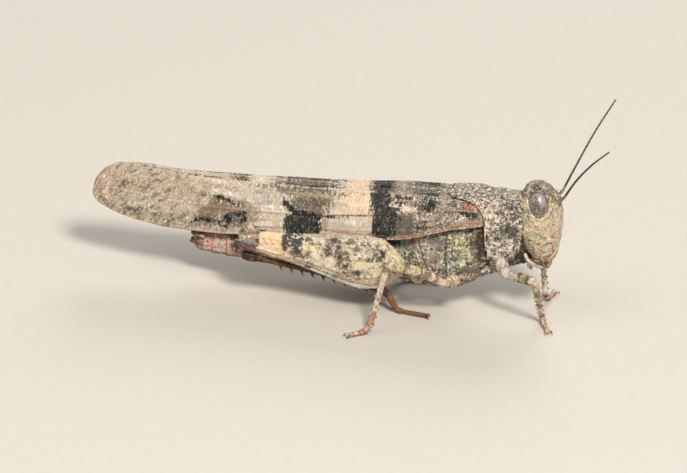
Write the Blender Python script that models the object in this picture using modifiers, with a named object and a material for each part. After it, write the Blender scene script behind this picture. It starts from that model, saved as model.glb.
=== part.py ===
"""A band-winged grasshopper at rest with its wings folded, as a still life-size model.

The head points along +X and the feet stand on Z = 0. Tables and sizes are in millimetres and become
metres when a mesh is made. In a table of keys the first number is a place along the piece and the
others are its sizes there; "out" is the distance from the middle plane, the same on both sides.
"""

import bpy
import bmesh
import numpy as np
from mathutils import Vector

MM = 0.001
SIDES = {"left": 1, "right": -1}

# Body, along X: place, half width, underside, top, level of the widest point
THORAX_KEYS = np.array((
    (3.0, 2.00, 2.3, 6.9, 4.6),
    (4.6, 2.38, 1.9, 7.6, 4.6),
    (6.6, 2.62, 1.75, 8.1, 4.8),
    (8.8, 2.64, 1.85, 8.25, 4.9),
    (10.1, 2.48, 2.35, 8.5, 5.4),
    (10.8, 2.06, 2.75, 9.0, 6.1),
    (12.2, 1.95, 3.4, 9.3, 6.4),
    (13.2, 1.60, 3.95, 9.2, 6.6),
    (13.85, 1.25, 4.35, 8.3, 6.2),
    (14.2, 0.85, 4.65, 6.2, 5.4),
))
ABDOMEN_KEYS = np.array((
    (-12.3, 0.45, 2.85, 3.75, 3.3),
    (-12.0, 0.85, 2.45, 4.15, 3.3),
    (-11.0, 1.20, 2.25, 4.35, 3.3),
    (-8.5, 1.60, 2.10, 4.85, 3.4),
    (-5.0, 1.90, 1.95, 5.9, 3.6),
    (-1.0, 2.15, 1.95, 6.9, 4.0),
    (2.85, 1.90, 2.25, 6.7, 4.6),
))
BODY_POWER = 2.3
BODY_SIDES = 18
PLEURON_POWER = 2.7

# Head, by level: height, back, front, half width, power of the plan outline behind its widest point
HEAD_KEYS = np.array((
    (5.00, 15.25, 16.62, 1.20, 2.3),
    (5.45, 14.84, 16.88, 1.62, 2.7),
    (6.30, 14.38, 17.02, 1.95, 3.0),
    (7.40, 14.16, 17.07, 2.10, 3.2),
    (8.60, 14.08, 17.02, 2.04, 3.0),
    (9.60, 14.02, 16.86, 1.80, 2.6),
    (10.30, 13.98, 16.62, 1.50, 2.1),
    (10.85, 14.10, 16.15, 1.15, 2.0),
    (11.22, 14.42, 15.60, 0.72, 2.0),
    (11.36, 14.75, 15.25, 0.35, 2.0),
))
HEAD_SIDES = 20
HEAD_LEVELS = 15
HEAD_WIDEST = 0.40
HEAD_FRONT_POWER = 2.3
EYE_CENTRE = (15.06, 1.25, 10.00)
EYE_RADII = (0.80, 0.74, 1.15)
EYE_LEAN = 14
EYE_TILT_IN = 15
EYE_GAP = 0.06

LABRUM = {"centre": (16.22, 4.50), "half_width": 0.86, "half_depth": 0.30, "half_height": 0.42, "lean": 12}
MANDIBLE = {"centre": (15.50, 0.66, 4.58), "radii": (0.46, 0.52, 0.34)}
MAXILLARY_PALP = ((14.36, 1.48, 5.42), (14.60, 1.62, 4.92), (15.10, 1.62, 4.62), (15.80, 1.46, 4.42))
LABIAL_PALP = ((14.60, 0.62, 4.85), (14.62, 0.72, 4.30), (15.00, 0.74, 4.00))
PALP_RADIUS = 0.25

ANTENNA_PATH = ((16.98, 0.72, 10.56), (17.75, 1.55, 12.35), (18.95, 3.40, 14.75), (20.35, 5.45, 17.00))
ANTENNA_RADIUS = 0.25
ANTENNA_POINTS = 13

# Pronotum: a saddle over the front of the thorax, 0.4 thick
PRONOTUM_CREST = np.array((
    (7.6, 10.10), (9.2, 10.18), (10.3, 10.24), (11.2, 10.08), (12.4, 10.18), (13.85, 10.28)))
PRONOTUM_HALF_WIDTH = np.array(((7.6, 2.72), (10.3, 2.86), (11.2, 2.72), (12.4, 2.62), (13.95, 2.52)))
PRONOTUM_POWER = np.array(((7.6, 4.2), (10.3, 4.0), (12.4, 3.2), (13.95, 2.8)))
# Round the saddle, from 0 on the crest to 1 at the lobe's hem: place, rear edge, front edge
PRONOTUM_EDGE = np.array((
    (0.00, 7.60, 13.85),
    (0.18, 8.20, 13.88),
    (0.36, 9.30, 13.92),
    (0.50, 10.45, 13.97),
    (0.65, 10.85, 14.10),
    (0.80, 10.95, 14.10),
    (0.92, 11.05, 13.65),
    (1.00, 11.45, 12.70),
))
PRONOTUM_HEM = 5.25
PRONOTUM_TUCK = 0.10
PRONOTUM_THICK = 0.40
PRONOTUM_ROWS = 11
PRONOTUM_COLUMNS = 21

# Forewing: place, top, lower edge, distance out of the dorsal fold, distance out of the lower edge
TEGMEN_KEYS = np.array((
    (-20.75, 7.10, 6.15, 0.50, 0.64),
    (-20.45, 7.66, 5.80, 0.48, 0.68),
    (-19.8, 8.36, 5.40, 0.46, 0.74),
    (-18.6, 8.88, 4.95, 0.46, 0.86),
    (-17.0, 8.92, 4.60, 0.47, 1.02),
    (-14.5, 8.84, 4.38, 0.50, 1.28),
    (-11.4, 8.84, 4.50, 0.58, 1.72),
    (-8.0, 8.94, 4.85, 0.72, 2.12),
    (-4.0, 9.08, 5.45, 0.88, 2.55),
    (0.0, 9.32, 5.95, 1.02, 2.92),
    (3.0, 9.52, 6.22, 1.15, 3.14),
    (5.0, 9.68, 6.55, 1.28, 3.20),
    (7.0, 9.66, 7.35, 1.42, 3.08),
    (8.6, 9.34, 8.00, 1.50, 2.78),
    (10.2, 9.16, 8.50, 1.45, 2.32),
))
TEGMEN_ROWS = 25
TEGMEN_COLUMNS = 9
TEGMEN_DORSAL_COLUMNS = 2
TEGMEN_THICK = 0.50
TEGMEN_BULGE = 1.55
TEGMEN_SPREAD = 1.15
TEGMEN_SLIT = 0.02
WING_PARTING = 0.07

# Hindwing, folded to a narrow fan between the forewings: place, top, lower edge
HINDWING_KEYS = np.array((
    (-14.6, 7.3, 5.7),
    (-13.6, 7.75, 5.45),
    (-11.0, 8.0, 5.3),
    (-4.0, 8.2, 6.75),
    (2.0, 8.5, 7.65),
))
HINDWING_OUT = (0.08, 0.50)
HINDWING_ROWS = 8

# Legs: joints as (along X, out, up); sections are share of the length, half thickness across, half depth
# Hind femur by X: place, lower edge, upper edge, half thickness, middle's distance out
HIND_FEMUR_KEYS = np.array((
    (-8.50, 4.85, 6.00, 0.38, 4.20),
    (-8.20, 4.52, 6.42, 0.58, 4.20),
    (-7.60, 4.40, 6.60, 0.66, 4.20),
    (-6.80, 4.42, 6.16, 0.52, 4.18),
    (-5.60, 4.12, 6.20, 0.60, 4.15),
    (-3.80, 3.74, 6.30, 0.76, 4.10),
    (-2.00, 3.22, 6.44, 0.92, 4.02),
    (0.00, 2.60, 6.62, 1.02, 3.94),
    (1.60, 2.20, 6.66, 1.04, 3.86),
    (3.20, 2.22, 6.45, 0.96, 3.80),
    (4.20, 2.80, 5.90, 0.74, 3.76),
    (4.85, 3.60, 5.00, 0.42, 3.74),
))
HIND_FEMUR_INNER = 0.92
HIND_FEMUR_FLANGE = 0.30
HIND_FEMUR_SIDES = 12
HIND_TIBIA_START = (-8.05, 4.12, 3.98)
HIND_TIBIA_SECTIONS = np.array((
    (0, 0.34, 0.36), (0.06, 0.40, 0.40), (0.16, 0.30, 0.32), (0.8, 0.27, 0.30), (1, 0.34, 0.34)))

FRONT_COXA = ((12.38, 2.02, 5.10), (13.10, 2.50, 4.02))
FRONT_KNEE = (15.40, 3.78, 4.30)
FRONT_ANKLE = (16.22, 2.00, 0.55)
FRONT_TOE = (16.85, 3.85, 0.20)
MIDDLE_COXA = ((8.95, 2.50, 2.98), (8.30, 3.12, 2.74))
MIDDLE_KNEE = (3.67, 5.70, 4.92)
MIDDLE_ANKLE = (2.84, 7.72, 0.55)
MIDDLE_TOE = (1.30, 8.95, 0.20)
HIND_COXA = ((6.35, 2.86, 2.74), (5.45, 3.16, 3.36))
HIND_ANKLE = (3.55, 3.05, 1.75)
HIND_TOE = (6.95, 3.55, 0.20)

COXA_SECTIONS = np.array(((0, 0.34, 0.40), (0.35, 0.50, 0.58), (0.75, 0.46, 0.50), (1, 0.28, 0.30)))
FEMUR_SECTIONS = np.array((
    (0, 0.32, 0.36), (0.2, 0.42, 0.52), (0.55, 0.42, 0.52),
    (0.85, 0.34, 0.40), (0.96, 0.38, 0.44), (1, 0.28, 0.30)))
TIBIA_SECTIONS = np.array((
    (0, 0.26, 0.28), (0.1, 0.30, 0.32), (0.3, 0.25, 0.26), (0.9, 0.25, 0.26), (1, 0.28, 0.30)))
TARSUS_SECTIONS = np.array((
    (0, 0.26, 0.27), (0.18, 0.34, 0.30), (0.42, 0.32, 0.28),
    (0.52, 0.25, 0.25), (0.86, 0.27, 0.25), (1, 0.25, 0.20)))
LIMB_SIDES = 8
JOINT_GAP = 0.12

CERCUS = ((-11.45, 1.28, 3.95), (-11.95, 1.30, 4.00), (-12.40, 1.22, 4.02))
CERCUS_RADII = (0.26, 0.26, 0.25)

COLOURS = {
    "cuticle": ((0.45, 0.38, 0.27), 0.60),
    "wing": ((0.56, 0.47, 0.37), 0.55),
    "hindwing": ((0.62, 0.60, 0.45), 0.45),
    "eye": ((0.17, 0.14, 0.16), 0.22),
    "leg": ((0.58, 0.44, 0.31), 0.55),
    "shin": ((0.40, 0.20, 0.11), 0.50),
    "feeler": ((0.10, 0.07, 0.05), 0.50),
    "mouth": ((0.60, 0.30, 0.18), 0.50),
}


def through(keys, places):
    """Values at the places on a smooth curve through the keys, which never overshoots them."""
    known = keys[:, 0]
    values = keys[:, 1:]
    gaps = np.diff(known)[:, None]
    slopes = np.diff(values, axis=0) / gaps
    product = slopes[:-1] * slopes[1:]
    total = np.where(product > 0, slopes[:-1] + slopes[1:], 1)
    inner = np.where(product > 0, 2 * product / total, 0)
    tangents = np.vstack((slopes[:1], inner, slopes[-1:]))
    places = np.clip(places, known[0], known[-1])
    index = np.clip(np.searchsorted(known, places, side="right") - 1, 0, len(gaps) - 1)
    gap = gaps[index]
    share = (places - known[index])[:, None] / gap
    low, high = values[index], values[index + 1]
    return (
        low * (1 + 2 * share) * (1 - share) ** 2
        + high * share ** 2 * (3 - 2 * share)
        + gap * share * (1 - share) ** 2 * tangents[index]
        - gap * share ** 2 * (1 - share) * tangents[index + 1]
    )


def signed_power(values, exponent):
    return np.sign(values) * np.abs(values) ** exponent


def circle(count):
    """Cosine and sine round a circle, as two rows that broadcast over stations."""
    angles = np.arange(count) * 2 * np.pi / count
    return np.cos(angles)[None, :], np.sin(angles)[None, :]


def placed_mesh(name, points, faces):
    mesh = bpy.data.meshes.new(name)
    mesh.from_pydata([tuple(point) for point in np.asarray(points) * MM], [], faces)
    shape = bmesh.new()
    shape.from_mesh(mesh)
    bmesh.ops.recalc_face_normals(shape, faces=shape.faces)
    shape.to_mesh(mesh)
    shape.free()
    mesh.shade_smooth()
    return mesh


def add_object(name, data, collection, material=None):
    added = bpy.data.objects.new(name, data)
    collection.objects.link(added)
    if material:
        data.materials.append(material)
    return added


def loft(name, rings, collection, material):
    """A closed body through the rings, with a fan to the middle of each end ring."""
    stations, count, _ = rings.shape
    points = np.vstack((rings.reshape(-1, 3), rings[0].mean(axis=0), rings[-1].mean(axis=0)))
    first_pole, last_pole = stations * count, stations * count + 1
    faces = []
    for station in range(stations - 1):
        for corner in range(count):
            following = (corner + 1) % count
            here, there = station * count, (station + 1) * count
            faces.append((here + corner, here + following, there + following, there + corner))
    for corner in range(count):
        following = (corner + 1) % count
        faces.append((corner, following, first_pole))
        faces.append(((stations - 1) * count + corner, (stations - 1) * count + following, last_pole))
    return add_object(name, placed_mesh(name, points, faces), collection, material)


def grid_faces(rows, columns):
    """The four-sided faces of a grid of points that is stored row after row."""
    return [
        (row * columns + column, row * columns + column + 1,
         (row + 1) * columns + column + 1, (row + 1) * columns + column)
        for row in range(rows - 1) for column in range(columns - 1)
    ]


def leaf(name, outer, inner, collection, material):
    """A closed body between two grids of points that are joined along their borders."""
    rows, columns, _ = outer.shape
    count = rows * columns
    faces = grid_faces(rows, columns)
    faces += [tuple(corner + count for corner in face[::-1]) for face in faces]
    border = [column for column in range(columns)]
    border += [row * columns + columns - 1 for row in range(1, rows)]
    border += [(rows - 1) * columns + column for column in range(columns - 2, -1, -1)]
    border += [row * columns for row in range(rows - 2, 0, -1)]
    for here, there in zip(border, border[1:] + border[:1]):
        faces.append((there, here, here + count, there + count))
    points = np.vstack((outer.reshape(-1, 3), inner.reshape(-1, 3)))
    return add_object(name, placed_mesh(name, points, faces), collection, material)


def sheet(name, grid, thickness, collection, material):
    """A shell from an open grid of points, thickened towards the body with Solidify."""
    rows, columns, _ = grid.shape
    faces = grid_faces(rows, columns)
    shell = add_object(name, placed_mesh(name, grid.reshape(-1, 3), faces), collection, material)
    thicken = shell.modifiers.new("Thickness", "SOLIDIFY")
    thicken.thickness = thickness * MM
    thicken.offset = -1
    return shell


def face_outward(shell, inside):
    """Turns the shell's faces so that they look away from a point inside it, in millimetres."""
    mesh = shell.data
    centre = Vector(inside) * MM
    outward = sum((face.center - centre).dot(face.normal) * face.area for face in mesh.polygons)
    if outward < 0:
        mesh.flip_normals()


def tube(name, path, radii, collection, material, points):
    """A round tapering rod along a smooth path, as a curve with filled caps."""
    shares = np.linspace(0, 1, len(path))
    places = np.linspace(0, 1, points)
    route = through(np.column_stack((shares, path)), places)
    widths = np.interp(places, np.linspace(0, 1, len(radii)), radii)
    data = bpy.data.curves.new(name, "CURVE")
    data.dimensions = "3D"
    data.bevel_depth = MM
    data.bevel_resolution = 1
    data.use_fill_caps = True
    spline = data.splines.new("POLY")
    spline.points.add(points - 1)
    for point, place, width in zip(spline.points, route, widths):
        point.co = (*(place * MM), 1)
        point.radius = width
    return add_object(name, data, collection, material)


def mirrored(point, side):
    return np.array((point[0], side * point[1], point[2]))


def body_rings(keys, places, power):
    half_width, under, top, widest = through(keys, places).T[:, :, None]
    across, upward = circle(BODY_SIDES)
    lift = signed_power(upward, 2 / power)
    height = np.where(lift > 0, top - widest, widest - under)
    return np.stack(np.broadcast_arrays(
        places[:, None], half_width * signed_power(across, 2 / power), widest + lift * height), axis=-1)


def make_thorax(collection, material):
    places = np.concatenate((np.linspace(3.0, 9.0, 7), np.linspace(10.1, 14.2, 7)))
    return loft("thorax", body_rings(THORAX_KEYS, places, PLEURON_POWER), collection, material)


def make_abdomen(collection, material):
    places = np.concatenate(((-12.3, -12.15, -11.75), np.linspace(-11.0, 2.85, 10)))
    return loft("abdomen", body_rings(ABDOMEN_KEYS, places, BODY_POWER), collection, material)


def make_head(collection, cutters, material):
    """The capsule as a stack of plan outlines, with a socket cut for each eye."""
    levels = HEAD_KEYS[0, 0] + (HEAD_KEYS[-1, 0] - HEAD_KEYS[0, 0]) * np.linspace(0, 1, HEAD_LEVELS) ** 0.92
    back, front, half_width, power = through(HEAD_KEYS, levels).T[:, :, None]
    along, across = circle(HEAD_SIDES)
    middle = back + (front - back) * HEAD_WIDEST
    reach = np.where(along > 0, front - middle, middle - back)
    power = np.where(along > 0, HEAD_FRONT_POWER, power)
    rings = np.stack(np.broadcast_arrays(
        middle + reach * signed_power(along, 2 / power),
        half_width * signed_power(across, 2 / power), levels[:, None]), axis=-1)
    head = loft("head", rings, collection, material)
    for label, side in SIDES.items():
        cutter = make_eye(f"socket_{label}", side, EYE_GAP, cutters, None)
        cutter.hide_render = True
        cutter.display_type = "WIRE"
        cut = head.modifiers.new(f"Socket {label}", "BOOLEAN")
        cut.operation = "DIFFERENCE"
        cut.object = cutter
    return head


def ball(name, centre, radii, collection, material, turned=(0, 0, 0)):
    bpy.ops.mesh.primitive_uv_sphere_add(segments=14, ring_count=9, radius=1)
    added = bpy.context.object
    added.name = name
    added.data.name = name
    added.data.transform(added.matrix_world)
    added.scale = [radius * MM for radius in radii]
    bpy.ops.object.transform_apply(location=False, rotation=False, scale=True)
    added.location = [value * MM for value in centre]
    added.rotation_euler = [np.radians(angle) for angle in turned]
    added.data.shade_smooth()
    for owner in list(added.users_collection):
        owner.objects.unlink(added)
    collection.objects.link(added)
    if material:
        added.data.materials.append(material)
    return added


def make_eye(name, side, grown, collection, material):
    radii = [radius + grown for radius in EYE_RADII]
    turned = (side * EYE_TILT_IN, -EYE_LEAN, 0)
    return ball(name, mirrored(EYE_CENTRE, side), radii, collection, material, turned)


def make_mouth(collection, materials):
    along, level = LABRUM["centre"]
    ball("labrum", (along, 0, level),
                  (LABRUM["half_depth"], LABRUM["half_width"], LABRUM["half_height"]),
                  collection, materials["mouth"], (0, LABRUM["lean"], 0))
    for label, side in SIDES.items():
        ball(f"mandible_{label}", mirrored(MANDIBLE["centre"], side), MANDIBLE["radii"],
             collection, materials["mouth"])
        for kind, path in (("maxillary", MAXILLARY_PALP), ("labial", LABIAL_PALP)):
            route = [mirrored(point, side) for point in path]
            tube(f"palp_{kind}_{label}", route, (PALP_RADIUS,), collection, materials["mouth"], 6)


def make_antennae(collection, material):
    for label, side in SIDES.items():
        route = [mirrored(point, side) for point in ANTENNA_PATH]
        tube(f"antenna_{label}", route, (ANTENNA_RADIUS,), collection, material, ANTENNA_POINTS)


def make_pronotum(collection, material):
    """A saddle: rows run round it from hem to hem, columns from the rear edge to the front one."""
    around = np.linspace(-1, 1, PRONOTUM_COLUMNS)
    rear, front = through(PRONOTUM_EDGE, np.abs(around)).T
    along = np.linspace(0, 1, PRONOTUM_ROWS)[:, None]
    places = rear + (front - rear) * along
    crest = through(PRONOTUM_CREST, places.ravel()).reshape(places.shape)
    width = through(PRONOTUM_HALF_WIDTH, places.ravel()).reshape(places.shape)
    power = through(PRONOTUM_POWER, places.ravel()).reshape(places.shape)
    quarter = np.abs(around) * np.pi / 2
    rise = np.cos(quarter) ** (2 / power)
    tuck = 1 - PRONOTUM_TUCK * np.clip((np.abs(around) - 0.6) / 0.4, 0, 1) ** 2
    reach = np.sin(quarter) ** (2 / power) * tuck
    height = PRONOTUM_HEM + (crest - PRONOTUM_HEM) * rise
    grid = np.stack((places, np.sign(around) * width * reach, height), axis=-1)
    saddle = sheet("pronotum", grid, PRONOTUM_THICK, collection, material)
    face_outward(saddle, (11.5, 0, 7))
    return saddle


def tegmen_grid(side, depth):
    """Forewing points, from the middle plane over the fold and down to the lower edge.

    The depth is the distance inside the wing's outer face: 0 gives that face itself.
    """
    spread = np.sin(np.linspace(0, 1, TEGMEN_ROWS) * np.pi / 2) ** TEGMEN_SPREAD
    places = TEGMEN_KEYS[-1, 0] + (TEGMEN_KEYS[0, 0] - TEGMEN_KEYS[-1, 0]) * spread[::-1]
    top, low, fold, out = through(TEGMEN_KEYS, places).T[:, :, None]
    top = top - depth
    fold = np.maximum(fold - depth, WING_PARTING + TEGMEN_SLIT)
    out = np.maximum(out - depth, fold)
    flat = np.linspace(0, 1, TEGMEN_DORSAL_COLUMNS + 1)[:-1]
    quarter = np.linspace(0, np.pi / 2, TEGMEN_COLUMNS - TEGMEN_DORSAL_COLUMNS)
    bulge = 2 / TEGMEN_BULGE
    reach = np.concatenate((WING_PARTING + (fold - WING_PARTING) * flat,
                            fold + (out - fold) * np.sin(quarter) ** bulge), axis=1)
    height = np.concatenate((top + 0 * flat, low + (top - low) * np.cos(quarter) ** bulge), axis=1)
    return np.stack(np.broadcast_arrays(places[:, None], side * reach, height), axis=-1)


def make_tegmina(collection, material):
    for label, side in SIDES.items():
        outer, inner = tegmen_grid(side, 0), tegmen_grid(side, TEGMEN_THICK)
        leaf(f"tegmen_{label}", outer, inner, collection, material)


def make_hindwings(collection, material):
    """Each folded fan is a narrow upright leaf between the forewing and the abdomen."""
    places = np.linspace(HINDWING_KEYS[0, 0], HINDWING_KEYS[-1, 0], HINDWING_ROWS)
    top, low = through(HINDWING_KEYS, places).T[:, :, None]
    across, upward = circle(8)
    inner, outer = HINDWING_OUT
    for label, side in SIDES.items():
        out = (inner + outer) / 2 + (outer - inner) / 2 * signed_power(across, 0.5)
        height = (top + low) / 2 + (top - low) / 2 * signed_power(upward, 0.5)
        rings = np.stack(np.broadcast_arrays(places[:, None], side * out, height), axis=-1)
        loft(f"hindwing_{label}", rings, collection, material)


def limb_rings(path, sections, stations, sides):
    """Rings square to a smooth path; depth lies in the upright plane that holds the path."""
    shares = np.linspace(0, 1, len(path))
    places = np.unique(np.concatenate((np.linspace(0, 1, stations), sections[:, 0])))
    route = through(np.column_stack((shares, path)), places)
    heading = np.gradient(route, places, axis=0)
    heading /= np.linalg.norm(heading, axis=1)[:, None]
    across = np.cross(heading, (0, 0, 1.0))
    across /= np.linalg.norm(across, axis=1)[:, None]
    depth = np.cross(across, heading)
    thick, deep = through(sections, places).T[:, :, None, None]
    turn, lift = circle(sides)
    return (route[:, None, :] + across[:, None, :] * thick * turn[..., None]
            + depth[:, None, :] * deep * lift[..., None])


def shortened(start, end, at_start, at_end):
    """The two ends of a segment, drawn in so that it clears its neighbours."""
    start, end = np.array(start, float), np.array(end, float)
    heading = (end - start) / np.linalg.norm(end - start)
    return start + heading * at_start, end - heading * at_end


def make_segment(name, start, end, sections, side, collection, material,
                 at_start=JOINT_GAP, at_end=JOINT_GAP):
    ends = [mirrored(point, side) for point in shortened(start, end, at_start, at_end)]
    return loft(name, limb_rings(ends, sections, 2, LIMB_SIDES), collection, material)


def make_tarsus(name, ankle, toe, side, collection, material):
    """A foot: it drops from the ankle and lies along the floor, its underside cut flat at Z = 0."""
    ankle, toe = np.array(ankle, float), np.array(toe, float)
    heading = (toe - ankle) * (1, 1, 0)
    heading /= np.linalg.norm(heading)
    start = ankle + heading * 0.30 - (0, 0, 0.12)
    path = [start, start * 0.62 + toe * 0.38 + (0, 0, -0.10), toe]
    path[1][2] = 0.22
    rings = limb_rings([mirrored(point, side) for point in path], TARSUS_SECTIONS, 7, LIMB_SIDES)
    rings[..., 2] = np.maximum(rings[..., 2], 0)
    return loft(name, rings, collection, material)


def make_front_and_middle_legs(collection, materials):
    legs = {
        "front": (FRONT_COXA, FRONT_KNEE, FRONT_ANKLE, FRONT_TOE),
        "middle": (MIDDLE_COXA, MIDDLE_KNEE, MIDDLE_ANKLE, MIDDLE_TOE),
    }
    for leg, (coxa, knee, ankle, toe) in legs.items():
        for label, side in SIDES.items():
            make_segment(f"{leg}_coxa_{label}", coxa[0], coxa[1], COXA_SECTIONS, side, collection,
                         materials["leg"], 0.15, 0.05)
            make_segment(f"{leg}_femur_{label}", coxa[1], knee, FEMUR_SECTIONS, side, collection,
                         materials["leg"], 0.22, 0.05)
            make_segment(f"{leg}_tibia_{label}", knee, ankle, TIBIA_SECTIONS, side, collection,
                         materials["leg"], 0.42, 0.05)
            make_tarsus(f"{leg}_tarsus_{label}", ankle, toe, side, collection, materials["leg"])


def make_hind_femur(side, collection, material):
    """The jumping thigh: full on the outside, with its inner face drawn in below to house the shin."""
    places = np.concatenate(((-8.5, -8.35, -8.0), np.linspace(-7.5, 4.3, 11), (4.62, 4.85)))
    low, high, thick, middle = through(HIND_FEMUR_KEYS, places).T[:, :, None]
    across, upward = circle(HIND_FEMUR_SIDES)
    level = low + (high - low) * 0.60
    height = np.where(upward > 0, level + (high - level) * upward, level + (level - low) * upward)
    tuck = np.clip((level - height) / (level - low) * 1.6, 0, 1)
    inner = HIND_FEMUR_INNER * (1 - tuck) - HIND_FEMUR_FLANGE * tuck
    out = middle + thick * np.where(across > 0, across, across * inner)
    rings = np.stack(np.broadcast_arrays(places[:, None], side * out, height), axis=-1)
    return loft(f"hind_femur_{'left' if side > 0 else 'right'}", rings, collection, material)


def make_hind_legs(collection, materials):
    for label, side in SIDES.items():
        make_segment(f"hind_coxa_{label}", HIND_COXA[0], HIND_COXA[1], COXA_SECTIONS, side, collection,
                     materials["leg"])
        make_hind_femur(side, collection, materials["leg"])
        make_segment(f"hind_tibia_{label}", HIND_TIBIA_START, HIND_ANKLE, HIND_TIBIA_SECTIONS, side,
                     collection, materials["shin"], 0, 0.05)
        make_tarsus(f"hind_tarsus_{label}", HIND_ANKLE, HIND_TOE, side, collection, materials["shin"])


def make_cerci(collection, material):
    for label, side in SIDES.items():
        route = [mirrored(point, side) for point in CERCUS]
        tube(f"cercus_{label}", route, CERCUS_RADII, collection, material, 4)


def make_materials():
    materials = {}
    for name, (colour, roughness) in COLOURS.items():
        material = bpy.data.materials.new(name)
        material.use_nodes = True
        shader = material.node_tree.nodes["Principled BSDF"]
        shader.inputs["Base Color"].default_value = (*colour, 1)
        shader.inputs["Roughness"].default_value = roughness
        shader.inputs["Metallic"].default_value = 0
        materials[name] = material
    return materials


def main():
    for old in list(bpy.data.objects):
        bpy.data.objects.remove(old, do_unlink=True)
    parts = bpy.data.collections.new("grasshopper")
    cutters = bpy.data.collections.new("cutters")
    for collection in (parts, cutters):
        bpy.context.scene.collection.children.link(collection)
    materials = make_materials()
    make_thorax(parts, materials["cuticle"])
    make_abdomen(parts, materials["cuticle"])
    make_cerci(parts, materials["cuticle"])
    make_head(parts, cutters, materials["cuticle"])
    for label, side in SIDES.items():
        make_eye(f"eye_{label}", side, 0, parts, materials["eye"])
    make_mouth(parts, materials)
    make_antennae(parts, materials["feeler"])
    make_pronotum(parts, materials["cuticle"])
    make_tegmina(parts, materials["wing"])
    make_hindwings(parts, materials["hindwing"])
    make_front_and_middle_legs(parts, materials)
    make_hind_legs(parts, materials)


main()
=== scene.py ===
import math
import bpy
import numpy as np
from mathutils import Matrix


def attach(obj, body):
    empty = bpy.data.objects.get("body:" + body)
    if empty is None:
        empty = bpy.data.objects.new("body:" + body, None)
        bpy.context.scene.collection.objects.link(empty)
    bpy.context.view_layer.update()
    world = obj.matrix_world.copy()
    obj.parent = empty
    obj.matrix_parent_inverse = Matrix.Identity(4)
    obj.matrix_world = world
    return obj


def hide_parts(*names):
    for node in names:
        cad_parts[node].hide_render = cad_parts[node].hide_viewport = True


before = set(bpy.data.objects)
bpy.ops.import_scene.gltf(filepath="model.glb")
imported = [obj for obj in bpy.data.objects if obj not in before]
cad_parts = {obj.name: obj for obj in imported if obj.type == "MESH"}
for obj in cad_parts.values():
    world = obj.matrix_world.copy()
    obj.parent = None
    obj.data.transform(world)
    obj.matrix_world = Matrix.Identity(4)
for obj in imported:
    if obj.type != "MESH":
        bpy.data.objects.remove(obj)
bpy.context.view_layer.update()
sides = {"left": 1, "right": -1}
mm = 0.001  # every size and place below is in millimetres, in the frame of the CAD model
print("frame loaded with", len(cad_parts), "nodes")


# numbers and curves

def through(keys, places):
    # Smooth curves through rows of (place, values...): a cubic between two keys whose slope at a key is the
    # harmonic mean of its neighbours' slopes, so that it never overshoots.
    keys = np.asarray(keys, float)
    places = np.asarray(places, float)
    known, values = keys[:, 0], keys[:, 1:]
    gaps = np.diff(known)[:, None]
    slopes = np.diff(values, axis=0) / gaps
    product = slopes[:-1] * slopes[1:]
    total = np.where(product > 0, slopes[:-1] + slopes[1:], 1)
    inner = np.where(product > 0, 2 * product / total, 0)
    tangents = np.vstack((slopes[:1], inner, slopes[-1:]))
    flat = np.clip(places.ravel(), known[0], known[-1])
    index = np.clip(np.searchsorted(known, flat, side="right") - 1, 0, len(gaps) - 1)
    gap = gaps[index]
    share = (flat - known[index])[:, None] / gap
    curve = (values[index] * (1 + 2 * share) * (1 - share) ** 2
             + values[index + 1] * share ** 2 * (3 - 2 * share)
             + gap * share * (1 - share) ** 2 * tangents[index]
             - gap * share ** 2 * (1 - share) * tangents[index + 1])
    curve = curve.reshape(*places.shape, -1)
    return curve[..., 0] if curve.shape[-1] == 1 else curve


def power(values, exponent):
    return np.sign(values) * np.abs(values) ** exponent  # keeps the sign, so superellipses close


def hump(distance, width):
    return np.exp(-(distance / width) ** 2)  # 1 in the middle, gone at twice the width


def rise(low, high, values):
    share = np.clip((values - low) / (high - low), 0, 1)
    return share ** 2 * (3 - 2 * share)  # 0 at low, 1 at high


def relief(*lines):
    # The sum of ridges, or of furrows where the height is negative. A line is (height, distance from it,
    # half width, share of the height).
    return sum(lift * hump(away, half) * share for lift, away, half, share in lines)


def ripple(points, size, seed, waves=12):
    # A smooth random height of about +-1: the sum of plane waves of about this length in random directions.
    dice = np.random.default_rng(seed)
    heading = dice.normal(size=(waves, 3))
    heading *= (dice.uniform(0.6, 1.6, waves) * 2 * np.pi / size / np.linalg.norm(heading, axis=1))[:, None]
    phase = dice.uniform(0, 2 * np.pi, waves)
    total = np.zeros(points.shape[:-1])
    for way, start in zip(heading, phase):
        total += np.sin(points @ way + start)
    return total / math.sqrt(waves / 2)


def circle(count):
    return np.linspace(0, 2 * np.pi, count, endpoint=False)[None, :]


def pointsAt(x, y, z):
    return np.stack(np.broadcast_arrays(x, y, z), axis=-1)


def mirrored(points, side):
    return np.asarray(points, float) * (1, side, 1)


def leaned(degrees):
    # The matrix of a turn about Y.
    cosine, sine = math.cos(math.radians(degrees)), math.sin(math.radians(degrees))
    return np.array(((cosine, 0, sine), (0, 1, 0), (-sine, 0, cosine)))


def inside(x, z, blots):
    # Distance in mm inside the nearest of some blots, negative outside. A blot is (x, z, half length, half
    # height, degrees if turned): the distance is (1 - r) times its smaller half size, r a squarish radius.
    deepest = np.full(np.broadcast(x, z).shape, -1.0)
    for alongX, upZ, halfLength, halfHeight, *turn in blots:
        angle = math.radians(sum(turn))
        cosine, sine = math.cos(angle), math.sin(angle)
        across = ((x - alongX) * cosine + (z - upZ) * sine) / halfLength
        upward = ((z - upZ) * cosine - (x - alongX) * sine) / halfHeight
        radius = (np.abs(across) ** 2.6 + np.abs(upward) ** 2.6) ** (1 / 2.6)
        deepest = np.maximum(deepest, (1 - radius) * min(halfLength, halfHeight))
    return np.clip(deepest, -1, 1)


def marksAt(points, marks):
    # One attribute for each kind of mark, on the plane seen from the side.
    return {name: inside(points[..., 0], points[..., 2], blots) for name, blots in marks.items()}


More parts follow.
